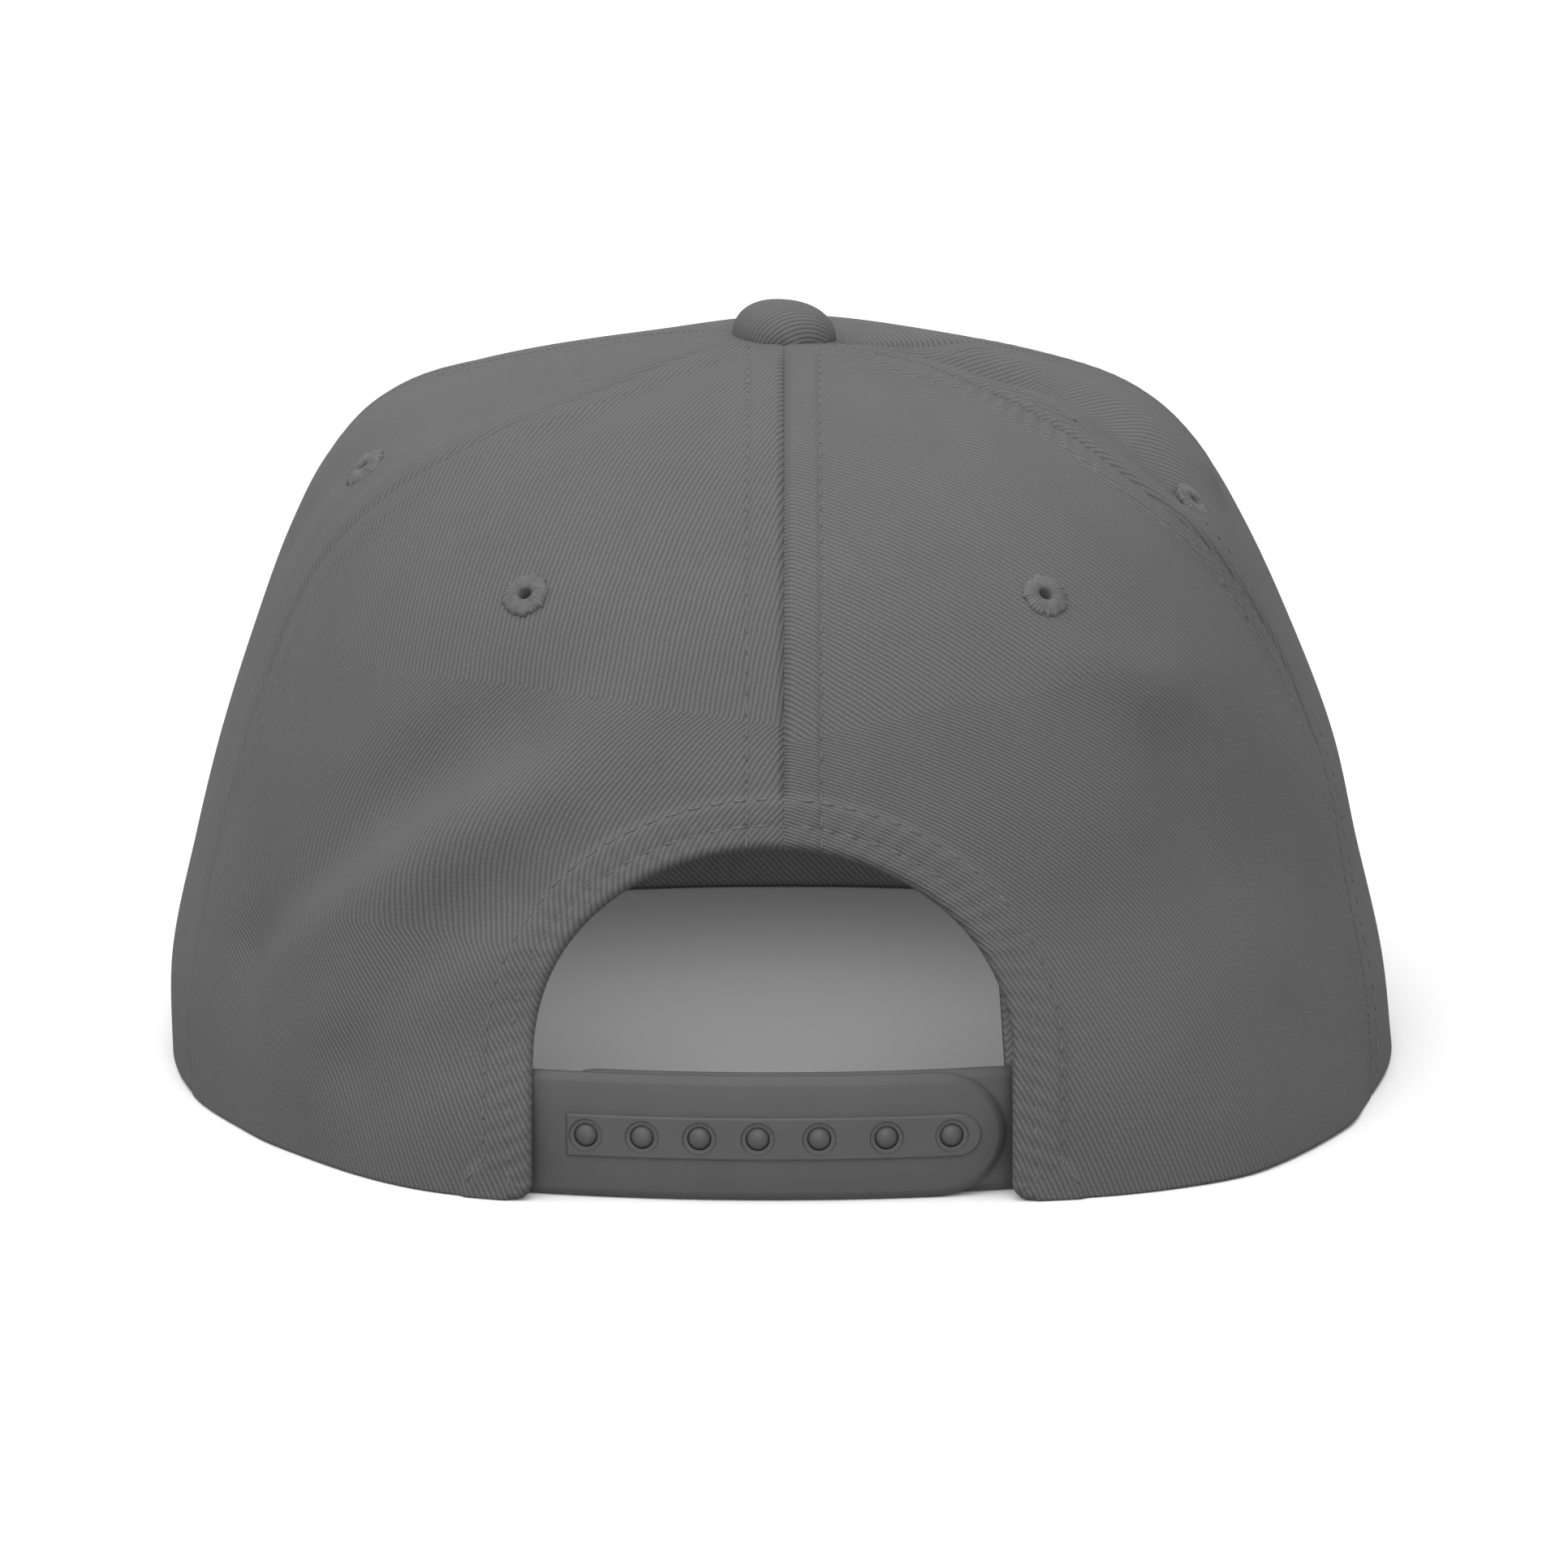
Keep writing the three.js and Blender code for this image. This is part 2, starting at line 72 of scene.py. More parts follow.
# Level rings: height, then the reach to the left, right, back and front, then the superellipse's power.
RINGS = np.array([
    (0.0, 88.3, 88.3, 97.0, 94.5, 2.3),
    (14.0, 88.6, 86.6, 96.5, 96.0, 2.3),
    (30.0, 85.2, 82.8, 95.0, 95.5, 2.3),
    (45.0, 81.4, 79.3, 91.5, 92.5, 2.3),
    (60.0, 76.6, 73.5, 85.5, 86.5, 2.3),
    (74.0, 71.4, 67.0, 76.5, 76.5, 2.3),
    (85.0, 65.4, 60.3, 64.0, 63.0, 2.3),
    (93.0, 56.3, 51.5, 50.0, 48.0, 2.3),
    (98.0, 39.5, 38.0, 34.0, 34.5, 2.3),
    (100.8, 22.0, 21.0, 17.0, 21.0, 2.1),
    (101.6, 0.6, 0.6, 0.6, 0.6, 2.0),
])
HEIGHT, LEFT, RIGHT, BACK, FRONT, SQUARE = range(6)

# Seams, in degrees round from the middle of the back at each ring, right positive.
SEAMS = {
    "left_front": (-115, -114.5, -114, -112.5, -111, -109, -106, -104, -103, -102, -102),
    "left_back": (-64, -65, -65.5, -65, -64, -61.5, -55.5, -49, -47.5, -47, -47),
    "back": (0,) * 11,
    "right_back": (63, 65, 66, 67.5, 66, 61, 54, 50, 49, 48.5, 48.5),
    "right_front": (115, 114.5, 114, 112.5, 111, 109, 107, 105, 104, 103, 103),
}

# Broad forms: angle, height, reach along and across, lean in degrees, push outwards.
FORMS = (
    (-26, 0, 26, 36, 0, 6.2),    # left hem corner
    (29, 0, 28, 36, 0, 7.0),     # right hem corner
    (-33, 54, 24, 7, 35, -2.2),  # left long dent
    (-33, 43, 22, 6, 40, 1.5),   # left fold
    (-27, 38, 15, 6, 40, -1.5),  # left lower dent
    (-53, 27, 7, 20, 0, -1.4),   # left side hollow
    (39, 53, 10, 16, 15, -2.0),  # right side hollow
    (60, 92, 16, 7, 12, -1.6),   # right shoulder dip
)

# Soft creases along the cloth: width, push, then places as angle and row.
CREASES = (
    # Left back panel: a valley, a fold and a lower valley that run down towards the side.
    (5.0, -1.0, (-24, 0.392), (-32, 0.34), (-39, 0.288), (-47, 0.226), (-53, 0.17)),
    (5.5, 0.6, (-20, 0.35), (-27, 0.297), (-32.5, 0.248), (-35.5, 0.196), (-39, 0.14)),
    (4.5, -0.7, (-22, 0.26), (-29, 0.2), (-33, 0.16), (-36, 0.11)),
    (5.0, -0.5, (-13, 0.826), (-11, 0.7), (-9, 0.58)),
    # Left shoulder.
    (4.0, -0.7, (-25, 0.93), (-34, 0.872), (-36, 0.806), (-38, 0.734)),
    # Right back panel.
    (5.0, 0.7, (28, 0.46), (33, 0.442), (39, 0.42)),
    (3.5, 0.5, (46, 0.86), (39, 0.8), (34, 0.72)),
    (3.5, -0.5, (38, 0.85), (31, 0.77), (27, 0.7)),
    # Right shoulder.
    (4.0, 1.3, (92, 0.86), (79, 0.768), (75, 0.682), (76, 0.6)),
    (4.5, -2.7, (82, 0.9), (77, 0.828), (72, 0.762), (66, 0.686), (64, 0.61)),
    (8.0, -2.2, (98, 0.94), (84, 0.89), (76, 0.83)),
    # The front panel's crown stands a little higher, and the shoulders towards the front lower.
    (14.0, 1.1, (150, 0.97), (180, 0.95), (210, 0.97)),
    (24.0, 0.4, (0, 0.995), (180, 0.995)),
    # The lower corners at the sides stand out a little more.
    (12.0, 2.4, (38, 0.0), (52, 0.0)),
    (10.0, 0.7, (-48, 0.0), (-60, 0.0)),
    (8.0, 0.4, (-92, 0.0), (-70, 0.0)),
    (14.0, 0.45, (125, 0.9), (145, 0.93)),
    # Hollows low on both sides, and a fuller cloth above the left dent.
    (8.0, -1.2, (-21, 0.16), (-28, 0.13), (-33, 0.09)),
    (12.0, 0.7, (-20, 0.36), (-27, 0.32)),
    (12.0, -1.9, (28, 0.24), (38, 0.26), (48, 0.27)),
    (8.0, 0.9, (36, 0.42), (46, 0.42)),
    # A shallow valley beside the left seam's shoulder.
    (7.0, -0.9, (-80, 0.5), (-72, 0.62), (-63, 0.73), (-50, 0.83)),
    (12.0, -0.5, (-130, 0.86), (-105, 0.8)),
    (12.0, -0.4, (130, 0.84), (108, 0.78)),
)

WALL = 1.6
ARCH = {"centre": -1.6, "half": 32.2, "spring": 20.0, "rise": 26.8, "foot": 2.5, "straight": 0.34}
BILL = {"half": 89.0, "length": 69.0, "shoulder": 62.0, "square": 2.7, "top": 3.5, "horn": 116.0}
TIP_RADIUS = 3.8
TIP_TURN_RADIUS = 5.6


def spline(values, t):
    """A smooth curve through evenly spaced values, t from 0 to 1."""
    v = np.asarray(values, float)
    v = np.concatenate([[2 * v[0] - v[1]], v, [2 * v[-1] - v[-2]]])
    x = np.clip(t, 0, 1) * (len(v) - 3)
    i = np.clip(x.astype(int), 0, len(v) - 4)
    f = x - i
    a, b, c, d = v[i], v[i + 1], v[i + 2], v[i + 3]
    return 0.5 * (2 * b + (c - a) * f + (2 * a - 5 * b + 4 * c - d) * f**2 + (3 * b - a - 3 * c + d) * f**3)


def crown(angle, t):
    """Points of the crown's outside for angles in degrees and rows from 0, the rim, to 1, the top."""
    angle, t = np.broadcast_arrays(np.asarray(angle, float), np.asarray(t, float))
    s, c = np.sin(np.radians(angle)), np.cos(np.radians(angle))
    width = np.where(s < 0, spline(RINGS[:, LEFT], t), spline(RINGS[:, RIGHT], t))
    depth = np.where(c > 0, spline(RINGS[:, BACK], t), spline(RINGS[:, FRONT], t))
    n = spline(RINGS[:, SQUARE], t)
    z = spline(RINGS[:, HEIGHT], t)
    plain = (np.abs(s / width) ** n + np.abs(c / depth) ** n) ** (-1 / n)
    turn = (angle + 180) % 360 - 180
    push = np.zeros_like(plain)
    for at, height, along, across, lean, by in FORMS:
        x, y = np.radians(turn - at) * plain, z - height
        cl, sl = math.cos(math.radians(lean)), math.sin(math.radians(lean))
        push += by * np.exp(-(((x * cl + y * sl) / along) ** 2) - ((y * cl - x * sl) / across) ** 2)
    r = plain + push * np.minimum(1, plain / 30)
    return np.stack([r * s, -r * c, z], -1)


def unit(v):
    """Vectors of length one with the same directions."""
    return v / np.maximum(np.linalg.norm(v, axis=-1, keepdims=True), 1e-9)


def crown_normal(angle, t):
    """The crown's outward normals, kept off the rim and the top, where steps would leave the surface."""
    low = np.clip(t, 0.002, 0.985)
    across = crown(angle + 0.5, low) - crown(angle - 0.5, low)
    return unit(np.cross(across, crown(angle, low + 0.004) - crown(angle, low - 0.002)))


ROW_TABLE = np.linspace(0, 1, 4001)
HEIGHT_TABLE = spline(RINGS[:, HEIGHT], ROW_TABLE)


def row_of(height):
    """The row at this height on the smooth crown."""
    return np.interp(height, HEIGHT_TABLE, ROW_TABLE)


def row_of_radius(radius):
    """The row near the top where the crown's ring at the back has this radius."""
    rows = np.linspace(1, 0.8, 800)
    return float(np.interp(radius, np.hypot(*crown(0, rows)[:, :2].T), rows))


TIP_ROW = row_of_radius(TIP_RADIUS)
TURN_ROW = row_of_radius(TIP_TURN_RADIUS)
FRONT_ROW = float(row_of(BILL["top"] + 0.1))


def seam(name, t):
    """A seam's angle at these rows."""
    return spline(SEAMS[name], np.asarray(t, float))


def seam_line(name, count=900):
    """A seam as a fine line of points from the rim to the panels' tips."""
    t = np.linspace(0, TIP_ROW, count)
    return crown(seam(name, t), t)


def behind(x, height):
    """The angle and row of places that are known as seen from behind."""
    t = row_of(height)
    angle = np.zeros_like(t)
    for _ in range(25):
        p = crown(angle, t)
        angle = np.degrees(np.arcsin(np.clip(x / np.hypot(p[..., 0], p[..., 1]), -1, 1)))
    return angle, t


def arch_edge(sign, u):
    """The arch's edge on one side as angles and rows, u from the rim to the back seam."""
    u = np.asarray(u, float)
    straight, foot = ARCH["straight"], ARCH["foot"]
    z = ARCH["spring"] * np.minimum(u / straight, 1)
    rounding = np.where(z < foot, foot - np.sqrt(np.maximum(foot**2 - (foot - z) ** 2, 0)), 0)
    end = math.acos(-sign * ARCH["centre"] / ARCH["half"])
    a = np.maximum(u - straight, 0) / (1 - straight) * end
    low = u < straight
    x = ARCH["centre"] + sign * np.where(low, ARCH["half"] + rounding, ARCH["half"] * np.cos(a))
    return behind(x, np.where(low, z, ARCH["spring"] + ARCH["rise"] * np.sin(a)))


def graded(count, tight=0.6):
    """Steps from 0 to 1 that lie closer together towards both ends."""
    s = np.linspace(0, 1, count + 1)
    return s - tight * np.sin(2 * np.pi * s) / (2 * np.pi)


def smooth(low, high, x):
    """A soft step from 0 at low to 1 at high."""
    f = np.clip((x - low) / (high - low), 0, 1)
    return f * f * (3 - 2 * f)


CHUNK = 3000


def gap_to(points, line):
    """Each point's distance to a line of points, and how far along the line its foot is."""
    flat = points.reshape(-1, 3)
    steps = np.linalg.norm(np.diff(line, axis=0), axis=1)
    along = np.concatenate([[0], np.cumsum(steps)])
    gap, reach = np.empty(len(flat)), np.empty(len(flat))
    # A few thousand points at a time keep the table of distances small.
    for start in range(0, len(flat), CHUNK):
        p = flat[start : start + CHUNK]
        near = ((p[:, None] - line[None]) ** 2).sum(2).argmin(1)
        best = np.full(len(p), 1e9)
        foot = np.zeros(len(p))
        for a in (np.clip(near - 1, 0, len(line) - 2), np.clip(near, 0, len(line) - 2)):
            run = line[a + 1] - line[a]
            f = np.clip(((p - line[a]) * run).sum(1) / np.maximum((run * run).sum(1), 1e-12), 0, 1)
            d = np.linalg.norm(p - line[a] - f[:, None] * run, axis=1)
            foot = np.where(d < best, along[a] + f * steps[a], foot)
            best = np.minimum(d, best)
        gap[start : start + CHUNK] = best
        reach[start : start + CHUNK] = foot
    return gap.reshape(points.shape[:-1]), reach.reshape(points.shape[:-1])


def crease_push(points):
    """How far the soft creases push the cloth outwards at these points."""
    push = np.zeros(points.shape[:-1])
    for width, by, *places in CREASES:
        places = np.array(places, float)
        t = np.linspace(0, 1, 60)
        knots = np.linspace(0, 1, len(places))
        line = crown(np.interp(t, knots, places[:, 0]), np.interp(t, knots, places[:, 1]))
        push += by * np.exp(-((gap_to(points, line)[0] / width) ** 2))
    return push


# ---- Panels ----

# steps is how many cells the panel's grid has across and along. Each edge has how proud the seam allowance stands
# beside it, how much it puckers, and how deep the seam and the stitch row beside it are drawn in. middle is the
# angle of the panel's middle line. rib is the direction of the twill's ribs on the flat cloth at the rim, half way
# to RIB_TURNED millimetres up and from there on, because the cloth is pulled a little askew.
PANELS = {
    "front_panel": {
        "steps": (190, 120), "from": "right_front", "to": "left_front", "middle": 180, "rib": (117, 117, 117),
        "rise": {"right_front": (0.35, 0.1, 0.3, 0.14), "left_front": (0.35, 0.1, 0.3, 0.14)}},
    "side_panel_left": {
        "steps": (120, 150), "from": "left_front", "to": "left_back", "middle": -88, "rib": (117, 120, 122),
        "rise": {"left_front": (0.3, 0.1, 0.3, 0.14), "left_back": (0.3, 0.1, 0.1, 0.08)}},
    "side_panel_right": {
        "steps": (120, 150), "from": "right_back", "to": "right_front", "middle": 88, "rib": (117, 108, 100),
        "rise": {"right_back": (0.55, 0.5, 0.35, 0.22), "right_front": (0.3, 0.1, 0.3, 0.14)}},
    "back_panel_left": {
        "steps": (220, 180), "sign": -1, "to": "left_back", "middle": -31, "rib": (117, 126, 97),
        "rise": {"left_back": (0.22, 0.1, 0.1, 0.08), "back": (0.2, 0.05, 0.6, 0.26)}},
    "back_panel_right": {
        "steps": (220, 180), "sign": 1, "to": "right_back", "middle": 32, "rib": (111, 114, 131),
        "rise": {"right_back": (0.55, 0.6, 0.35, 0.14), "back": (0.45, 0.05, 0.55, 0.26)}},
}
# The seams pucker at the stitches' pitch, and only above these heights, where the cloth isn't drawn tight.
PUCKER_PITCH = 2.7
PUCKER_FROM = (46.0, 66.0)
LOWEST_STITCH = 3.0
RIB_TURNED = 70.0

EYELETS = {
    "eyelet_back_left": ("back_panel_left", -27.5, 76.7),
    "eyelet_back_right": ("back_panel_right", 28.2, 76.4),
    "eyelet_side_left": ("side_panel_left", -66.5, 87.5),
    "eyelet_side_right": ("side_panel_right", 65.5, 83.0),
}
EYELET_CUT = 2.0
# Each eyelet is a ring of threads: their middle circle, half the ring's width, its height and how that falls off
# outwards, and how far the whole stands out.
EYELET = {"threads": 36, "middle": 2.05, "half": 1.15, "height": 0.68, "slope": 0.22, "sink": 0.1, "out": 0.1}


def gore(spec, across, along):
    """Angles and rows of a panel between two seams, from its lower edge to its tip."""
    low = FRONT_ROW if spec["from"] == "right_front" else 0.0
    t = low + (TIP_ROW - low) * graded(along, 0.3)[None, :]
    a, b = seam(spec["from"], t), seam(spec["to"], t)
    b = np.where(b < a, b + 360, b)
    angle = a + (b - a) * graded(across)[:, None]
    return angle, np.broadcast_to(t, angle.shape)


def back_patch(spec, across, along):
    """Angles and rows of a back panel: a patch between the arch, side seam, rim and back seam."""
    sign = spec["sign"]
    u, v = graded(across), graded(along)

    def to_map(angle, t):
        a = np.radians(angle)
        return np.stack([np.sin(a), -np.cos(a)], -1) * (1 - t)[..., None]

    arch_angle, arch_row = arch_edge(sign, u)
    tip_angle = float(seam(spec["to"], TIP_ROW)) / 2
    side_row = TIP_ROW * u
    back_row = arch_row[-1] + (TIP_ROW - arch_row[-1]) * v
    side_turn = smooth(TURN_ROW, TIP_ROW, side_row)
    side_angle = seam(spec["to"], side_row) * (1 - side_turn) + tip_angle * side_turn
    back_angle = tip_angle * smooth(TURN_ROW, TIP_ROW, back_row)
    rim_angle = arch_angle[0] + (side_angle[0] - arch_angle[0]) * v
    arch, side = to_map(arch_angle, arch_row), to_map(side_angle, side_row)
    rim, back = to_map(rim_angle, np.zeros_like(v)), to_map(back_angle, back_row)
    uu, vv = u[:, None, None], v[None, :, None]
    m = (1 - vv) * arch[:, None] + vv * side[:, None] + (1 - uu) * rim[None] + uu * back[None]
    m -= (1 - uu) * (1 - vv) * arch[0] + uu * (1 - vv) * arch[-1] + (1 - uu) * vv * side[0] + uu * vv * side[-1]
    angle = np.degrees(np.arctan2(m[..., 0], -m[..., 1]))
    return angle, np.maximum(1 - np.hypot(m[..., 0], m[..., 1]), 0)


def cloth_map(angle, t, middle, rib):
    """Metres across and along the twill's ribs on a panel laid flat about its middle line."""
    steps = 24
    ring = np.zeros_like(angle)
    last = crown(np.full_like(angle, middle), t)
    for k in range(1, steps + 1):
        here = crown(middle + (angle - middle) * k / steps, t)
        ring += np.linalg.norm(here - last, axis=-1)
        last = here
    ring *= np.sign(angle - middle)
    rows = np.linspace(0, 1, 800)
    spine = crown(np.full_like(rows, middle), rows)
    up = np.concatenate([[0], np.cumsum(np.linalg.norm(np.diff(spine, axis=0), axis=1))])
    radius = np.maximum(np.hypot(spine[:, 0], spine[:, 1]), 1)
    # A level ring of a cone is an arc on the flat cloth, and this is how tightly it bends.
    bend = np.interp(t, rows, -np.gradient(radius, up) / radius)
    bend = np.where(np.abs(bend) < 1e-5, 1e-5, bend)
    high = np.interp(t, rows, up) + (1 - np.cos(bend * ring)) / bend
    ring = np.sin(bend * ring) / bend
    way = np.radians(np.interp(high, (0, RIB_TURNED / 2, RIB_TURNED), rib))
    return np.stack([high * np.cos(way) - ring * np.sin(way), ring * np.cos(way) + high * np.sin(way)], -1) * MM


def edge_roll(gap, radius):
    """How far a folded edge has dropped away at this distance from it."""
    return radius - np.sqrt(np.maximum(radius**2 - np.maximum(radius - gap, 0) ** 2, 0))


@functools.lru_cache(maxsize=None)
def panel(name):
    """A crown panel's grids: outer and inner points, normals, cloth coordinates and distances to its edges."""
    spec, sizes = PANELS[name], bpy.context.scene.cap_sizes
    seam_row, hem_row, hem_edge_row = sizes.seam_row / MM, sizes.hem_row / MM, sizes.hem_edge_row / MM
    angle, t = (back_patch if "sign" in spec else gore)(spec, *spec["steps"])
    base, normal = crown(angle, t), crown_normal(angle, t)
    radius = np.hypot(base[..., 0], base[..., 1])
    # Seams flatten out towards the button, which presses them down, and where the rim is turned in.
    open_cloth = smooth(TIP_RADIUS + 3, TIP_RADIUS + 16, radius) * (0.2 + 0.8 * smooth(0.5, 7, base[..., 2]))
    gaps = {}
    relief = crease_push(base) - 0.2 * (1 - smooth(6, 14, radius))
    inner_relief = relief - WALL
    for key, (rise, pucker, depth, row) in spec["rise"].items():
        gap, run = gap_to(base, seam_line(key))
        gaps[key] = gap
        band = smooth(0.1, 1.6, gap) * (1 - smooth(seam_row - 0.9, seam_row + 1.6, gap))
        wave = 2 * np.pi * (run + 0.7 * gap) / PUCKER_PITCH
        pucker = pucker * smooth(*PUCKER_FROM, base[..., 2])
        swell = np.sin(wave) * (0.65 + 0.35 * np.sin(run / 6.1 + 1.0))
        # The side seams lie flatter low down, where the cloth is drawn tight round the head.
        drawn = 1.0 if key == "back" else 0.25 + 0.75 * smooth(*PUCKER_FROM, base[..., 2])
        relief = relief + rise * drawn * open_cloth * band * (1 + pucker * swell)
        relief -= depth * (0.3 + 0.7 * open_cloth) * (1 - smooth(0, 0.8, gap))
        relief -= (row + 0.1 * pucker * np.sin(wave)) * drawn * open_cloth * np.exp(-(((gap - seam_row) / 0.45) ** 2))
    if "sign" in spec:
        arch = crown(*arch_edge(spec["sign"], np.linspace(0, 1, 900)))
        gap, run = gap_to(base, arch)
        gaps["arch"] = gap
        # The hem is turned over the seam, which shows there only as a faint line.
        relief += 0.4 * (1 - smooth(0, 0.8, gaps["back"])) * (1 - smooth(hem_row - 1, hem_row + 1, gap))
        wave = 2 * np.pi * run / PUCKER_PITCH
        hem = 1 - smooth(hem_row - 0.1, hem_row + 1.0, gap)
        relief += sizes.hem_rise / MM * hem * (1 + 0.08 * np.sin(wave + gap))
        for row, deep in ((hem_row, 0.3), (hem_edge_row, 0.1)):
            relief -= (deep + 0.04 * np.sin(wave)) * open_cloth * np.exp(-(((gap - row) / 0.45) ** 2))
        relief -= edge_roll(gap, 1.2)
        inner_relief = inner_relief + edge_roll(gap, 0.9)
    rim_gap = base[..., 2] - (base[..., 2].min() if name == "front_panel" else 0.0)
    gaps["rim"] = rim_gap
    relief -= edge_roll(rim_gap, 0.4)
    inner_relief = inner_relief + edge_roll(rim_gap, 0.4)
    outer = base + normal * relief[..., None]
    inner = base + normal * inner_relief[..., None]
    floor = 0.0 if name != "front_panel" else BILL["top"] + 0.02
    outer[..., 2] = np.maximum(outer[..., 2], floor)
    inner[..., 2] = np.maximum(inner[..., 2], floor)
    cloth = cloth_map(angle, t, spec["middle"], spec["rib"])
    return {"outer": outer, "inner": inner, "normal": normal, "cloth": cloth, "gaps": gaps}


def place(points):
    """Millimetres from the button's axis to metres in the frame."""
    return (np.asarray(points, float) + np.array([0.0, AXIS_Y, 0.0])) * MM


def shell(outer, inner, keep=None):
    """Points and quads of a closed sheet between two grids, walled wherever keep ends."""
    across, along = outer.shape[0] - 1, outer.shape[1] - 1
    keep = np.ones((across, along), bool) if keep is None else keep
    index = np.arange((across + 1) * (along + 1)).reshape(across + 1, along + 1)
    shift = index.size
    i, j = np.nonzero(keep)
    corners = [index[i, j], index[i + 1, j], index[i + 1, j + 1], index[i, j + 1]]
    quads = [np.stack(corners, 1), np.stack(corners[::-1], 1) + shift]
    ringed = np.pad(keep, 1)
    for k, (di, dj) in enumerate(((0, -1), (1, 0), (0, 1), (-1, 0))):
        bare = ~ringed[i + 1 + di, j + 1 + dj]
        p, q = corners[k][bare], corners[(k + 1) % 4][bare]
        quads.append(np.stack([q, p, p + shift, q + shift], 1))
    points = np.concatenate([outer.reshape(-1, 3), inner.reshape(-1, 3)])
    quads = np.concatenate(quads)
    used, quads = np.unique(quads, return_inverse=True)
    return points[used], quads.reshape(-1, 4), used % shift


def add_linked(name, data):
    """A new object with this data, in the scene."""
    made = bpy.data.objects.new(name, data)
    bpy.context.collection.objects.link(made)
    return made


def make_piece(name, points, faces, material, cloth=None):
    """A mesh object at the origin from points in crown millimetres, its faces turned outwards."""
    points = place(points)
    if len({len(f) for f in faces}) == 1:
        f = np.asarray(faces)
        volume = 0.0
        for k in range(1, f.shape[1] - 1):
            a, b, c = points[f[:, 0]], points[f[:, k]], points[f[:, k + 1]]
            volume += (a * np.cross(b, c)).sum()
        if volume < 0:
            f = f[:, ::-1]
        faces = f.tolist()
    mesh = bpy.data.meshes.new(name)
    mesh.from_pydata(points.tolist(), [], faces)
    if cloth is not None:
        layer = mesh.uv_layers.new(name="cloth")
        at = np.empty(len(mesh.loops), np.int32)
        mesh.loops.foreach_get("vertex_index", at)
        layer.data.foreach_set("uv", cloth[at].astype(np.float32).ravel())
    mesh.polygons.foreach_set("use_smooth", np.ones(len(mesh.polygons), bool))
    mesh.materials.append(material)
    mesh.update()
    return add_linked(name, mesh)


def dress(made, slot, *nodes):
    """Rides a finished piece on the cap and hides the solids it stands for; slot is not used."""
    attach(made, BODY)
    if nodes:
        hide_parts(*nodes)
    return made


def offset_line(points, normal, gap, level, axis, from_end, lift=0.0):
    """The line on a grid at one distance from an edge, found along each row or column of the grid."""
    if axis == 1:
        points, normal, gap = (a.swapaxes(0, 1) for a in (points, normal, gap))
    if from_end:
        points, normal, gap = points[::-1], normal[::-1], gap[::-1]
    line = []
    for k in range(gap.shape[1]):
        over = np.nonzero(gap[:, k] >= level)[0]
        if len(over) == 0 or over[0] == 0:
            continue
        i = over[0]
        f = (level - gap[i - 1, k]) / (gap[i, k] - gap[i - 1, k])
        here = points[i - 1, k] * (1 - f) + points[i, k] * f
        up = unit(normal[i - 1, k] * (1 - f) + normal[i, k] * f)
        line.append(here + up * lift)
    return np.array(line)


# ---- Materials ----


def add_node(tree, kind, settings=None, inputs=None):
    """Adds a node, sets its properties, and fills or links its inputs."""
    made = tree.nodes.new(kind)
    for key, value in (settings or {}).items():
        setattr(made, key, value)
    for key, value in (inputs or {}).items():
        socket = made.inputs[key]
        if isinstance(value, bpy.types.NodeSocket):
            tree.links.new(value, socket)
        else:
            socket.default_value = value
    return made


def new_material(name, roughness, **sockets):
    """A material with its shader's plain sockets set."""
    made = bpy.data.materials.new(name)
    made.use_nodes = True
    shader = made.node_tree.nodes["Principled BSDF"]
    shader.inputs["Roughness"].default_value = roughness
    for key, value in sockets.items():
        shader.inputs[key.replace("_", " ")].default_value = value
    return made, made.node_tree, shader


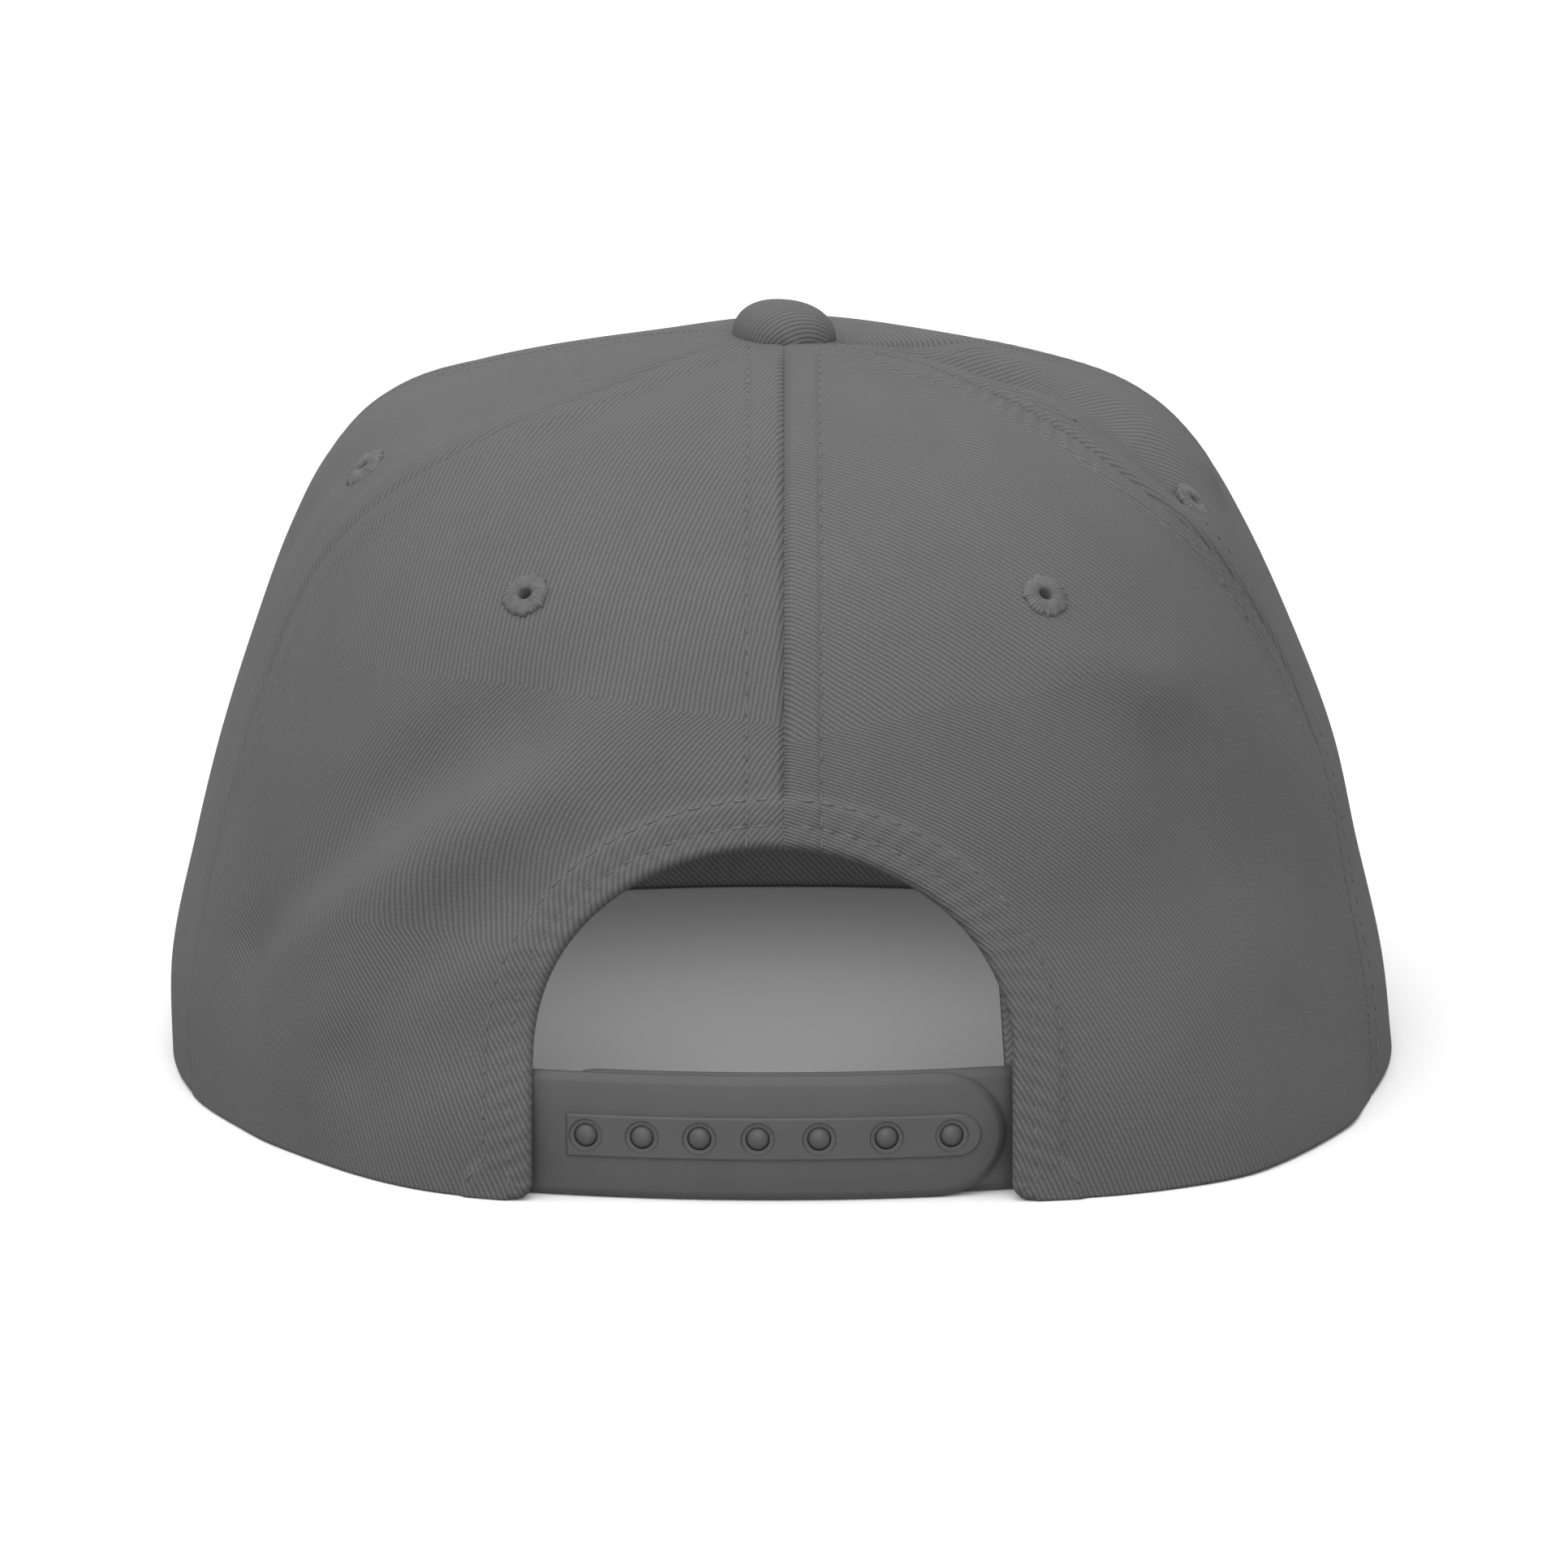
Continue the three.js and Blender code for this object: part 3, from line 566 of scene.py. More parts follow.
def twill_material(name, ridge, groove, pitch, depth):
    """Cotton twill, woven with diagonal ribs and a little fuzz; its grooves take a darker colour as painted shade."""
    made, tree, shader = new_material(name, 0.92, Sheen_Weight=0.06, Sheen_Roughness=0.6, Specular_IOR_Level=0.25)
    cloth = add_node(tree, "ShaderNodeUVMap", {"uv_map": "cloth"}).outputs[0]
    split = add_node(tree, "ShaderNodeSeparateXYZ", None, {0: cloth})
    # The ribs wander by a quarter of a millimetre, as yarns do.
    wander = add_node(tree, "ShaderNodeTexNoise", None, {"Vector": cloth, "Scale": 1 / 0.005, "Detail": 2.0})
    across = add_node(tree, "ShaderNodeMath", {"operation": "MULTIPLY_ADD"},
                      {0: wander.outputs[0], 1: 0.0004, 2: split.outputs["X"]})
    ribs = add_node(tree, "ShaderNodeMath", {"operation": "DIVIDE"}, {0: across.outputs[0], 1: pitch})
    wave = add_node(tree, "ShaderNodeMath", {"operation": "MULTIPLY"}, {0: ribs.outputs[0], 1: 2 * math.pi})
    wave = add_node(tree, "ShaderNodeMath", {"operation": "COSINE"}, {0: wave.outputs[0]})
    wave = add_node(tree, "ShaderNodeMath", {"operation": "MULTIPLY_ADD"}, {0: wave.outputs[0], 1: -0.5, 2: 0.5})
    rib = add_node(tree, "ShaderNodeMath", {"operation": "POWER"}, {0: wave.outputs[0], 1: 0.55})
    # Each rib is a row of short floats that step along from one rib to the next.
    row = add_node(tree, "ShaderNodeMath", {"operation": "FLOOR"}, {0: ribs.outputs[0]})
    step = add_node(tree, "ShaderNodeMath", {"operation": "MULTIPLY"}, {0: row.outputs[0], 1: 0.5 * 2 * math.pi})
    yarn = add_node(tree, "ShaderNodeMath", {"operation": "MULTIPLY_ADD"},
                    {0: split.outputs["Y"], 1: 2 * math.pi / (1.15 * pitch), 2: step.outputs[0]})
    yarn = add_node(tree, "ShaderNodeMath", {"operation": "SINE"}, {0: yarn.outputs[0]})
    yarn = add_node(tree, "ShaderNodeMath", {"operation": "MULTIPLY_ADD"}, {0: yarn.outputs[0], 1: 0.09, 2: 0.91})
    weave = add_node(tree, "ShaderNodeMath", {"operation": "MULTIPLY"}, {0: rib.outputs[0], 1: yarn.outputs[0]})
    fuzz = add_node(tree, "ShaderNodeTexNoise", None, {"Vector": cloth, "Scale": 1 / 0.0006, "Detail": 3.0})
    height = add_node(tree, "ShaderNodeMath", {"operation": "MULTIPLY_ADD"},
                      {0: fuzz.outputs[0], 1: 0.5, 2: weave.outputs[0]})
    height = add_node(tree, "ShaderNodeMath", {"operation": "SUBTRACT"}, {0: height.outputs[0], 1: 0.25})
    # The colour darkens with the ribs' height towards the grooves: painted shade between the ribs, on top of the bump's
    # own shading.
    tone = add_node(tree, "ShaderNodeMix", {"data_type": "RGBA", "clamp_factor": True},
                    {0: height.outputs[0], 6: groove, 7: ridge})
    # Dye takes a little unevenly over a few centimetres.
    place_in = add_node(tree, "ShaderNodeTexCoord")
    cloud = add_node(tree, "ShaderNodeTexNoise", None,
                     {"Vector": place_in.outputs["Object"], "Scale": 1 / 0.012, "Detail": 3.0})
    shade = add_node(tree, "ShaderNodeMapRange", None, {0: cloud.outputs[0], 1: 0.3, 2: 0.7, 3: 0.97, 4: 1.03})
    tone = add_node(tree, "ShaderNodeHueSaturation", None,
                    {"Value": shade.outputs[0], "Color": tone.outputs[2]})
    bump = add_node(tree, "ShaderNodeBump", None,
                    {"Strength": 0.9, "Distance": depth, "Height": height.outputs[0]})
    tree.links.new(tone.outputs[0], shader.inputs["Base Color"])
    tree.links.new(bump.outputs[0], shader.inputs["Normal"])
    return made


def thread_material(name, colour):
    """Polyester sewing thread: two plies twisted together, with a slight lustre."""
    made, tree, shader = new_material(name, 0.7, Sheen_Weight=0.1, Specular_IOR_Level=0.35)
    where = add_node(tree, "ShaderNodeTexCoord").outputs["Object"]
    fibre = add_node(tree, "ShaderNodeTexNoise", None, {"Vector": where, "Scale": 1 / 0.0008, "Detail": 2.0})
    tone = add_node(tree, "ShaderNodeMapRange", None, {0: fibre.outputs[0], 1: 0.3, 2: 0.7, 3: 0.85, 4: 1.12})
    tone = add_node(tree, "ShaderNodeHueSaturation", None, {"Value": tone.outputs[0], "Color": colour})
    bump = add_node(tree, "ShaderNodeBump", None,
                    {"Strength": 0.5, "Distance": 0.0001, "Height": fibre.outputs[0]})
    tree.links.new(tone.outputs[0], shader.inputs["Base Color"])
    tree.links.new(bump.outputs[0], shader.inputs["Normal"])
    return made


def plastic_material(name, colour, roughness):
    """Injection-moulded polyethylene: satin, with faint flow marks and fine scuffs."""
    made, tree, shader = new_material(name, roughness, IOR=1.5, Specular_IOR_Level=0.4)
    where = add_node(tree, "ShaderNodeTexCoord").outputs["Object"]
    flow = add_node(tree, "ShaderNodeTexNoise", None, {"Vector": where, "Scale": 1 / 0.006, "Detail": 3.0})
    tone = add_node(tree, "ShaderNodeMapRange", None, {0: flow.outputs[0], 1: 0.3, 2: 0.7, 3: 0.95, 4: 1.05})
    tone = add_node(tree, "ShaderNodeHueSaturation", None, {"Value": tone.outputs[0], "Color": colour})
    grain = add_node(tree, "ShaderNodeTexNoise", None, {"Vector": where, "Scale": 1 / 0.0007, "Detail": 2.0})
    bump = add_node(tree, "ShaderNodeBump", None,
                    {"Strength": 0.25, "Distance": 0.00005, "Height": grain.outputs[0]})
    tree.links.new(tone.outputs[0], shader.inputs["Base Color"])
    tree.links.new(bump.outputs[0], shader.inputs["Normal"])
    return made


@functools.lru_cache(maxsize=None)
def finish(kind):
    """The cap's own finishes, made once each."""
    tints, sizes = bpy.context.scene.cap_colours, bpy.context.scene.cap_sizes
    if kind == "twill":
        return twill_material("cotton twill", tints.twill_ridge, tints.twill_groove_shade, sizes.rib_pitch, 0.00013)
    if kind == "thread":
        return thread_material("polyester sewing thread", tints.thread)
    # The sweatband's lighter colour is painted light inside the shaded crown.
    if kind == "sweatband":
        return twill_material("sweatband twill", tints.sweatband, tints.twill_ridge, sizes.rib_pitch, 0.00008)
    if kind == "tape":
        return twill_material("woven seam tape", tints.tape, tints.twill_groove_shade, 0.0006, 0.0001)
    if kind == "outer_strap":
        return plastic_material("moulded strap plastic", tints.strap, 0.5)
    # The studs' lighter plastic is a painted highlight on their domes.
    return plastic_material("moulded stud plastic", tints.stud, 0.45)


# ---- Geometry Nodes ----


def stitch_tree(thread):
    """A node tree that lays one stitch at each step along every line."""
    tree = bpy.data.node_groups.new("stitch run", "GeometryNodeTree")
    tree.interface.new_socket("Geometry", in_out="INPUT", socket_type="NodeSocketGeometry")
    for name in ("Pitch", "Stitch Length", "Thread Width"):
        tree.interface.new_socket(name, in_out="INPUT", socket_type="NodeSocketFloat")
    tree.interface.new_socket("Seed", in_out="INPUT", socket_type="NodeSocketInt")
    tree.interface.new_socket("Geometry", in_out="OUTPUT", socket_type="NodeSocketGeometry")
    given = add_node(tree, "NodeGroupInput")
    curve = add_node(tree, "GeometryNodeMeshToCurve", None, {0: given.outputs["Geometry"]})
    steps = add_node(tree, "GeometryNodeResampleCurve", {"mode": "LENGTH"},
                     {"Curve": curve.outputs[0], "Length": given.outputs["Pitch"]})
    tangent = add_node(tree, "GeometryNodeInputTangent")
    turn = add_node(tree, "FunctionNodeAlignRotationToVector", {"axis": "X"}, {"Vector": tangent.outputs[0]})
    bead = add_node(tree, "GeometryNodeMeshUVSphere", None, {"Segments": 6, "Rings": 5, "Radius": 0.5})
    size = add_node(tree, "ShaderNodeCombineXYZ", None,
                    {"X": given.outputs["Stitch Length"], "Y": given.outputs["Thread Width"],
                     "Z": given.outputs["Thread Width"]})
    vary = add_node(tree, "FunctionNodeRandomValue", {"data_type": "FLOAT_VECTOR"},
                    {"Min": (0.85, 0.85, 0.8), "Max": (1.1, 1.15, 1.1), "Seed": given.outputs["Seed"]})
    size = add_node(tree, "ShaderNodeVectorMath", {"operation": "MULTIPLY"},
                    {0: size.outputs[0], 1: vary.outputs[0]})
    laid = add_node(tree, "GeometryNodeInstanceOnPoints", None,
                    {"Points": steps.outputs[0], "Instance": bead.outputs["Mesh"],
                     "Rotation": turn.outputs[0], "Scale": size.outputs[0]})
    whole = add_node(tree, "GeometryNodeRealizeInstances", None, {0: laid.outputs[0]})
    round_off = add_node(tree, "GeometryNodeSetShadeSmooth", None, {0: whole.outputs[0]})
    coloured = add_node(tree, "GeometryNodeSetMaterial", None, {0: round_off.outputs[0], "Material": thread})
    out = add_node(tree, "NodeGroupOutput")
    tree.links.new(coloured.outputs[0], out.inputs[0])
    return tree


def run_tree(name, tree, lines, values):
    """Runs a node tree on lines of points and returns its result as a plain mesh object."""
    points, edges = [], []
    for line in lines:
        start = len(points)
        points += place(line).tolist()
        edges += [(start + k, start + k + 1) for k in range(len(line) - 1)]
    mesh = bpy.data.meshes.new(name + " guide")
    mesh.from_pydata(points, edges, [])
    guide = add_linked(name + " guide", mesh)
    step = guide.modifiers.new("nodes", "NODES")
    step.node_group = tree
    for item in tree.interface.items_tree:
        if item.in_out == "INPUT" and item.name in values:
            step[item.identifier] = values[item.name]
    bpy.context.view_layer.update()
    seen = guide.evaluated_get(bpy.context.evaluated_depsgraph_get())
    result = bpy.data.meshes.new_from_object(seen)
    result.name = name
    bpy.data.objects.remove(guide)
    return add_linked(name, result)


# ---- Sizes and colours ----


class CapSizes(bpy.types.PropertyGroup):
    seam_row: FloatProperty(name="Seam row", description="Distance of a stitch row from its seam",
                            default=0.005, unit="LENGTH")
    hem_row: FloatProperty(name="Hem row", description="Distance of the hem's outer stitch row from the arch",
                           default=0.0066, unit="LENGTH")
    hem_edge_row: FloatProperty(name="Hem edge row", description="Distance of the hem's inner stitch row",
                                default=0.003, unit="LENGTH")
    hem_rise: FloatProperty(name="Hem rise", description="How proud the turned hem stands",
                            default=0.0006, unit="LENGTH")
    stitch_pitch: FloatProperty(name="Stitch pitch", description="From one stitch to the next",
                                default=0.003, unit="LENGTH")
    stitch_length: FloatProperty(name="Stitch length", description="Length of thread that shows",
                                 default=0.0021, unit="LENGTH")
    thread_width: FloatProperty(name="Thread width", description="Width of the sewing thread",
                                default=0.00034, unit="LENGTH")
    rib_pitch: FloatProperty(name="Rib pitch", description="From one twill rib to the next",
                             default=0.0007, unit="LENGTH")
    bill_rows: IntProperty(name="Bill rows", description="Rows of stitching round the bill", default=7, min=1)


class CapColours(bpy.types.PropertyGroup):
    twill_ridge: FloatVectorProperty(name="Twill ridge", description="Colour on top of the twill's ribs",
                                     subtype="COLOR", size=4, default=srgb("#636363"))
    twill_groove_shade: FloatVectorProperty(name="Twill groove", description="Colour between the twill's ribs, darkened as painted shade",
                                      # The grooves between the ribs are given a darker colour than the ribs: painted
                                      # shade in the recesses.
                                      subtype="COLOR", size=4, default=srgb("#4f4f4f"))
    thread: FloatVectorProperty(name="Thread", description="Colour of the sewing thread",
                                subtype="COLOR", size=4, default=srgb("#606060"))
    # The sweatband's colour is lighter than the cloth's as painted light: it stands in for light reaching the shaded
    # inside of the crown, seen through the arch.
    sweatband: FloatVectorProperty(name="Sweatband", description="Colour of the sweatband, lightened as painted light",
                                   subtype="COLOR", size=4, default=srgb("#858585"))
    tape: FloatVectorProperty(name="Tape", description="Colour of the seam tape inside",
                              subtype="COLOR", size=4, default=srgb("#545454"))
    strap: FloatVectorProperty(name="Strap", description="Colour of the snap straps",
                               subtype="COLOR", size=4, default=srgb("#4b4b4b"))
    # The studs are the inner strap's own plastic; their lighter colour is a painted highlight on the domes.
    stud: FloatVectorProperty(name="Stud", description="Colour of the studs, lightened as a painted highlight",
                              subtype="COLOR", size=4, default=srgb("#6a6a6a"))
    floor: FloatVectorProperty(name="Floor", description="Colour of the floor",
                               subtype="COLOR", size=4, default=srgb("#fcfcfc"))


# ---- Pieces ----


# The camera looks at a point on the crown's axis, in millimetres, from behind and a little above.
CAMERA = {"aim": (0, 36.3), "elevation": 12, "distance": 1.1, "sensor": 36, "lens": 173.8}
FLOOR_HALF = 12.0
# The surrounding light is even and weak, and whitens what the lamps leave.
WORLD_STRENGTH = 0.155
# Soft lamps: azimuth and elevation of where the light comes from, strength, and spread in degrees.
LAMPS = (
    ("left lamp", -60, 60, 2.25, 80),
    ("right lamp", 60, 60, 1.2, 80),
    ("front lamp", 0, 15, 1.75, 50),
    ("far lamp", 180, 20, 0.8, 70),
)
# The lamp inside the crown: its place ahead of the crown's axis and above the floor in millimetres.
HOLLOW_LAMP = {"ahead": 9, "height": 72, "side": 0.08, "energy": 0.0167}


class CAP_OT_stage(bpy.types.Operator):
    """Make the floor, the lights and the camera"""
    bl_idname = "cap.stage"
    bl_label = "Stage"

    def execute(self, context):
        scene = context.scene
        scene.view_settings.view_transform = "Standard"
        self.make_camera(scene)
        self.make_floor(scene)
        self.make_world(scene)
        for name, azimuth, height, strength, spread in LAMPS:
            lamp = bpy.data.lights.new(name, "SUN")
            lamp.energy = strength
            lamp.angle = math.radians(spread)
            made = add_linked(name, lamp)
            a, e = math.radians(azimuth), math.radians(height)
            source = Vector((math.sin(a) * math.cos(e), -math.cos(a) * math.cos(e), math.sin(e)))
            made.location = source
            made.rotation_euler = (-source).to_track_quat("-Z", "Y").to_euler()
        # A soft lamp inside the crown lights the floor that shows through the arch.
        glow = bpy.data.lights.new("hollow lamp", "AREA")
        glow.shape = "RECTANGLE"
        glow.size = glow.size_y = HOLLOW_LAMP["side"]
        glow.energy = HOLLOW_LAMP["energy"]
        made = add_linked("hollow lamp", glow)
        made.location = Vector((0, AXIS_Y + HOLLOW_LAMP["ahead"], HOLLOW_LAMP["height"])) * MM
        made.visible_camera = False
        return {"FINISHED"}

    def make_camera(self, scene):
        across, up = CAMERA["aim"]
        target = Vector((across, AXIS_Y, up)) * MM
        elevation = math.radians(CAMERA["elevation"])
        lens = bpy.data.cameras.new("camera")
        lens.sensor_width = CAMERA["sensor"]
        lens.lens = CAMERA["lens"]
        camera = add_linked("camera", lens)
        camera.location = target + CAMERA["distance"] * Vector((0, -math.cos(elevation), math.sin(elevation)))
        camera.rotation_euler = (target - camera.location).to_track_quat("-Z", "Y").to_euler()
        scene.camera = camera

    def make_floor(self, scene):
        half = FLOOR_HALF
        mesh = bpy.data.meshes.new("floor")
        mesh.from_pydata([(-half, -half, 0), (half, -half, 0), (half, half, 0), (-half, half, 0)], [], [(0, 1, 2, 3)])
        # Matt paint hardly mirrors the cap, and whites out in the picture.
        paint, _, shader = new_material("matt floor paint", 0.9, Specular_IOR_Level=0.1)
        shader.inputs["Base Color"].default_value = scene.cap_colours.floor
        mesh.materials.append(paint)
        floor = add_linked("floor", mesh)
        # Little of the floor's light comes back to the cap in the picture.
        floor.visible_diffuse = False

    def make_world(self, scene):
        world = bpy.data.worlds.new("studio")
        scene.world = world
        world.use_nodes = True
        background = world.node_tree.nodes["Background"]
        background.inputs["Color"].default_value = (1, 1, 1, 1)
        background.inputs["Strength"].default_value = WORLD_STRENGTH


class CAP_OT_panels(bpy.types.Operator):
    """Make the five crown panels with their seams, hems and eyelet holes"""
    bl_idname = "cap.panels"
    bl_label = "Crown panels"

    def execute(self, context):
        for name in PANELS:
            grids = panel(name)
            middle = (grids["outer"][:-1, :-1] + grids["outer"][1:, 1:]) / 2
            keep = np.ones(middle.shape[:2], bool)
            for home, angle, height in EYELETS.values():
                if home == name:
                    centre = crown(angle, float(row_of(height)))
                    keep &= np.linalg.norm(middle - centre, axis=-1) > EYELET_CUT
            points, faces, source = shell(grids["outer"], grids["inner"], keep)
            cloth = grids["cloth"].reshape(-1, 2)[source]
            made = make_piece(name + "_cloth", points, faces, finish("twill"), cloth)
            dress(made, "twill", name)
        return {"FINISHED"}


class CAP_OT_stitches(bpy.types.Operator):
    """Sew the stitch rows beside the crown's seams and along the arch's hem"""
    bl_idname = "cap.stitches"
    bl_label = "Crown stitches"

    def execute(self, context):
        sizes = context.scene.cap_sizes
        lines = []
        for name, spec in PANELS.items():
            grids = panel(name)
            outer, normal, gaps = grids["outer"], grids["normal"], grids["gaps"]
            level = sizes.seam_row / MM
            if "sign" in spec:
                rows = [
                    (gaps[spec["to"]], level, 1, True, -0.08),
                    (np.where(gaps["arch"] < 1.0, 0, gaps["back"]), level, 0, True, 0.03),
                    (gaps["arch"], sizes.hem_row / MM, 1, False, 0.03),
                    (gaps["arch"], sizes.hem_edge_row / MM, 1, False, -0.08),
                ]
            else:
                proud = 0.06 if spec["from"] == "right_back" else -0.1
                rows = [(gaps[spec["from"]], level, 0, False, proud), (gaps[spec["to"]], level, 0, True, -0.1)]
            for gap, distance, axis, from_end, lift in rows:
                line = offset_line(outer, normal, gap, distance, axis, from_end, lift)
                line = line[line[:, 2] > LOWEST_STITCH]
                if len(line) > 2:
                    lines.append(line)
        made = run_tree("crown_stitches", stitch_tree(finish("thread")), lines, {
            "Pitch": sizes.stitch_pitch, "Stitch Length": sizes.stitch_length,
            "Thread Width": sizes.thread_width, "Seed": 4,
        })
        dress(made, "thread")
        return {"FINISHED"}


def on_crown(points, angle, height, push=0.0):
    """Stands points made round the z axis on the crown, z along the cloth's normal, pushed out a little."""
    t = float(row_of(height))
    centre, up = crown(angle, t), crown_normal(np.float64(angle), np.float64(t))
    push += float(crease_push(centre[None])[0])
    side = unit(np.cross(np.array([0.0, 0.0, 1.0]), up))
    rise = np.cross(up, side)
    points = np.asarray(points, float)
    return centre + points[..., :1] * side + points[..., 1:2] * rise + (points[..., 2:] + push) * up


def lathe(profile, turns, wobble=None):
    """A grid from a profile of radius and height turned round z; its last column repeats the first."""
    profile = np.asarray(profile, float)
    phi = np.linspace(0, 2 * np.pi, turns + 1)
    r, z = np.broadcast_arrays(profile[:, 0][None], profile[:, 1][None])
    r, z = np.repeat(r, turns + 1, 0), np.repeat(z, turns + 1, 0)
    if wobble is not None:
        r, z = wobble(r, z, phi[:, None])
    return np.stack([r * np.cos(phi[:, None]), r * np.sin(phi[:, None]), z], -1)


def close_rings(grid, loop_profile):
    """Points and quads from a lathe grid; loop_profile joins its last ring back to its first."""
    turns, rings = grid.shape[0] - 1, grid.shape[1]
    points = grid[:-1].reshape(-1, 3)
    index = np.arange(turns * rings).reshape(turns, rings)
    ahead = np.roll(index, -1, 0)
    last = rings if loop_profile else rings - 1
    faces = []
    for j in range(last):
        k = (j + 1) % rings
        faces.append(np.stack([index[:, j], ahead[:, j], ahead[:, k], index[:, k]], 1))
    return points, np.concatenate(faces)


class CAP_OT_eyelets(bpy.types.Operator):
    """Sew the four eyelets as rings of thread over the cloth's edge"""
    bl_idname = "cap.eyelets"
    bl_label = "Eyelets"

    def execute(self, context):
        threads = EYELET["threads"]
        for k, (name, (_, angle, height)) in enumerate(EYELETS.items()):
            dice = np.random.default_rng(11 + k)
            reach = dice.uniform(-0.22, 0.22, threads)
            swell = dice.uniform(0.75, 1.2, threads)

            def wobble(r, z, phi):
                """Every thread is a ridge, and threads end at slightly different reaches."""
                at = phi / (2 * np.pi) * threads
                which = np.floor(at).astype(int) % threads
                ridge = np.abs(np.sin(at * np.pi))
                outer = np.clip((r - 1.2) / 2.0, 0, 1)
                r = r + outer * (reach[which] + 0.1 * ridge)
                lump = 1 + 0.25 * np.cos(phi - 5.2)
                return r, np.where(z > -0.4, z * lump + 0.13 * ridge * swell[which] * (z > 0.1), z)

            a = np.linspace(0, np.pi, 15)
            height_of = np.sin(a) ** 0.75 * (EYELET["height"] - EYELET["slope"] * np.cos(a)) - EYELET["sink"]
            top = np.stack([EYELET["middle"] + EYELET["half"] * np.cos(a), height_of], 1)
            bottom = np.array([(0.9, -1.2), (1.1, -WALL - 0.5), (2.0, -WALL - 0.75), (2.9, -WALL - 0.4),
                               (2.9, -WALL + 0.1), (3.0, -0.5)])
            grid = lathe(np.concatenate([top, bottom]), threads * 8, wobble)
            points, faces = close_rings(grid, True)
            points = on_crown(points, angle, height, EYELET["out"])
            made = make_piece(name + "_thread", points, faces, finish("thread"))
            dress(made, "thread", name)
        return {"FINISHED"}


# The button: the height of its middle, its dome, how its cloth is turned, and how much it leans to one side.
BUTTON = {"height": 101.85, "radius": 7.4, "low": 0.4, "rise": 4.9, "turn": -28, "lean": 0.035}
BUTTON_UNDER = ((0.02, -3.8), (2.4, -3.8), (2.5, -1.5), (5.8, -1.3), (6.7, -1.0), (7.15, -0.6), (7.35, -0.1))


class CAP_OT_button(bpy.types.Operator):
    """Make the covered button with its stretched cloth"""
    bl_idname = "cap.button"
    bl_label = "Button"

    def execute(self, context):
        base, radius = BUTTON["height"], BUTTON["radius"]
        a = np.linspace(0, np.pi / 2, 22)
        dome = np.stack([radius * np.cos(a) ** 0.82, BUTTON["low"] + BUTTON["rise"] * np.sin(a)], 1)
        dome[-1, 0] = BUTTON_UNDER[0][0]
        profile = np.concatenate([BUTTON_UNDER, dome])

        def gather(r, z, phi):
            """The cloth is gathered underneath, so its edge puckers, and the dome is a little lopsided."""
            low = np.exp(-(((z + 0.5) / 1.0) ** 2)) * (r > 5)
            r = r * (1 + low * (0.012 * np.sin(phi * 9 + 1) + 0.01 * np.sin(phi * 17)))
            top = np.clip(z / (BUTTON["low"] + BUTTON["rise"]), 0, 1) * (r < radius + 0.1)
            return r, z + top * 0.28 * (r / radius) * np.cos(phi - 2.7)

        grid = lathe(profile, 96, gather)
        points, faces = close_rings(grid, False)
        # The cloth is stretched over the dome, so it is measured along the surface from the top.
        steps = np.linalg.norm(np.diff(profile, axis=0), axis=1)
        reach = np.concatenate([np.cumsum(steps[::-1])[::-1], [0.0]])
        phi = np.linspace(0, 2 * np.pi, grid.shape[0])[:-1, None] + math.radians(BUTTON["turn"])
        cloth = np.stack([reach * np.sin(phi), reach * np.cos(phi)], -1).reshape(-1, 2) * MM
        points = points + np.array([0, 0, base])
        points[:, 2] -= BUTTON["lean"] * points[:, 0] * (points[:, 2] > base - 2)
        made = make_piece("button_cloth", points, faces, finish("twill"), cloth)
        dress(made, "twill", "button")
        return {"FINISHED"}


def bill_grid(across=220, along=64):
    """The bill as seen from above: from the crown's inner wall out to its edge, and distances to that edge."""
    front = spline(RINGS[:, FRONT], np.float64(row_of(BILL["top"]))) + BILL["length"]
    a = np.linspace(0, np.pi, 3000)
    c = np.cos(a)
    power = 2 / BILL["square"]
    rim = np.stack([BILL["half"] * np.sign(c) * np.abs(c) ** power,
                    BILL["shoulder"] + (front - BILL["shoulder"]) * np.sin(a) ** power], 1)
    run = np.concatenate([[0], np.cumsum(np.linalg.norm(np.diff(rim, axis=0), axis=1))])
    u = np.linspace(0, 1, across + 1)
    outer = np.stack([np.interp(u * run[-1], run, rim[:, k]) for k in (0, 1)], 1)
    t = float(row_of(BILL["top"] / 2))
    angle = BILL["horn"] + (360 - 2 * BILL["horn"]) * u
    inner = crown(angle, np.full_like(angle, t))
    inner = (inner - crown_normal(angle, np.full_like(angle, t)) * WALL)[:, :2]
    v = graded(along, 0.5)
    flat = inner[:, None] * (1 - v[None, :, None]) + outer[:, None] * v[None, :, None]
    points = np.concatenate([flat, np.zeros(flat.shape[:2] + (1,))], 2)
    outline = np.concatenate([inner[:1], outer, inner[-1:]])
    outline = np.concatenate([outline, np.zeros((len(outline), 1))], 1)
    return points, gap_to(points, outline)[0]


# The bill's stitch rows: from the edge to the first, from row to row, and the groove that each draws in.
BILL_ROWS = {"first": 2.0, "step": 6.0, "deep": 0.16, "wide": 0.7}
# Each cloth of the bill: its lower and upper level, the way its outside faces, and how round its edge is.
BILL_CLOTHS = {"bill_upper": (1.45, BILL["top"], 1, 1.3), "bill_lower": (0.0, 1.42, -1, 0.9)}
BILL_RIB = 62
# Half a thread's width and a little more keep the lower rows above the floor.
BILL_THREAD_LOWEST = 0.26


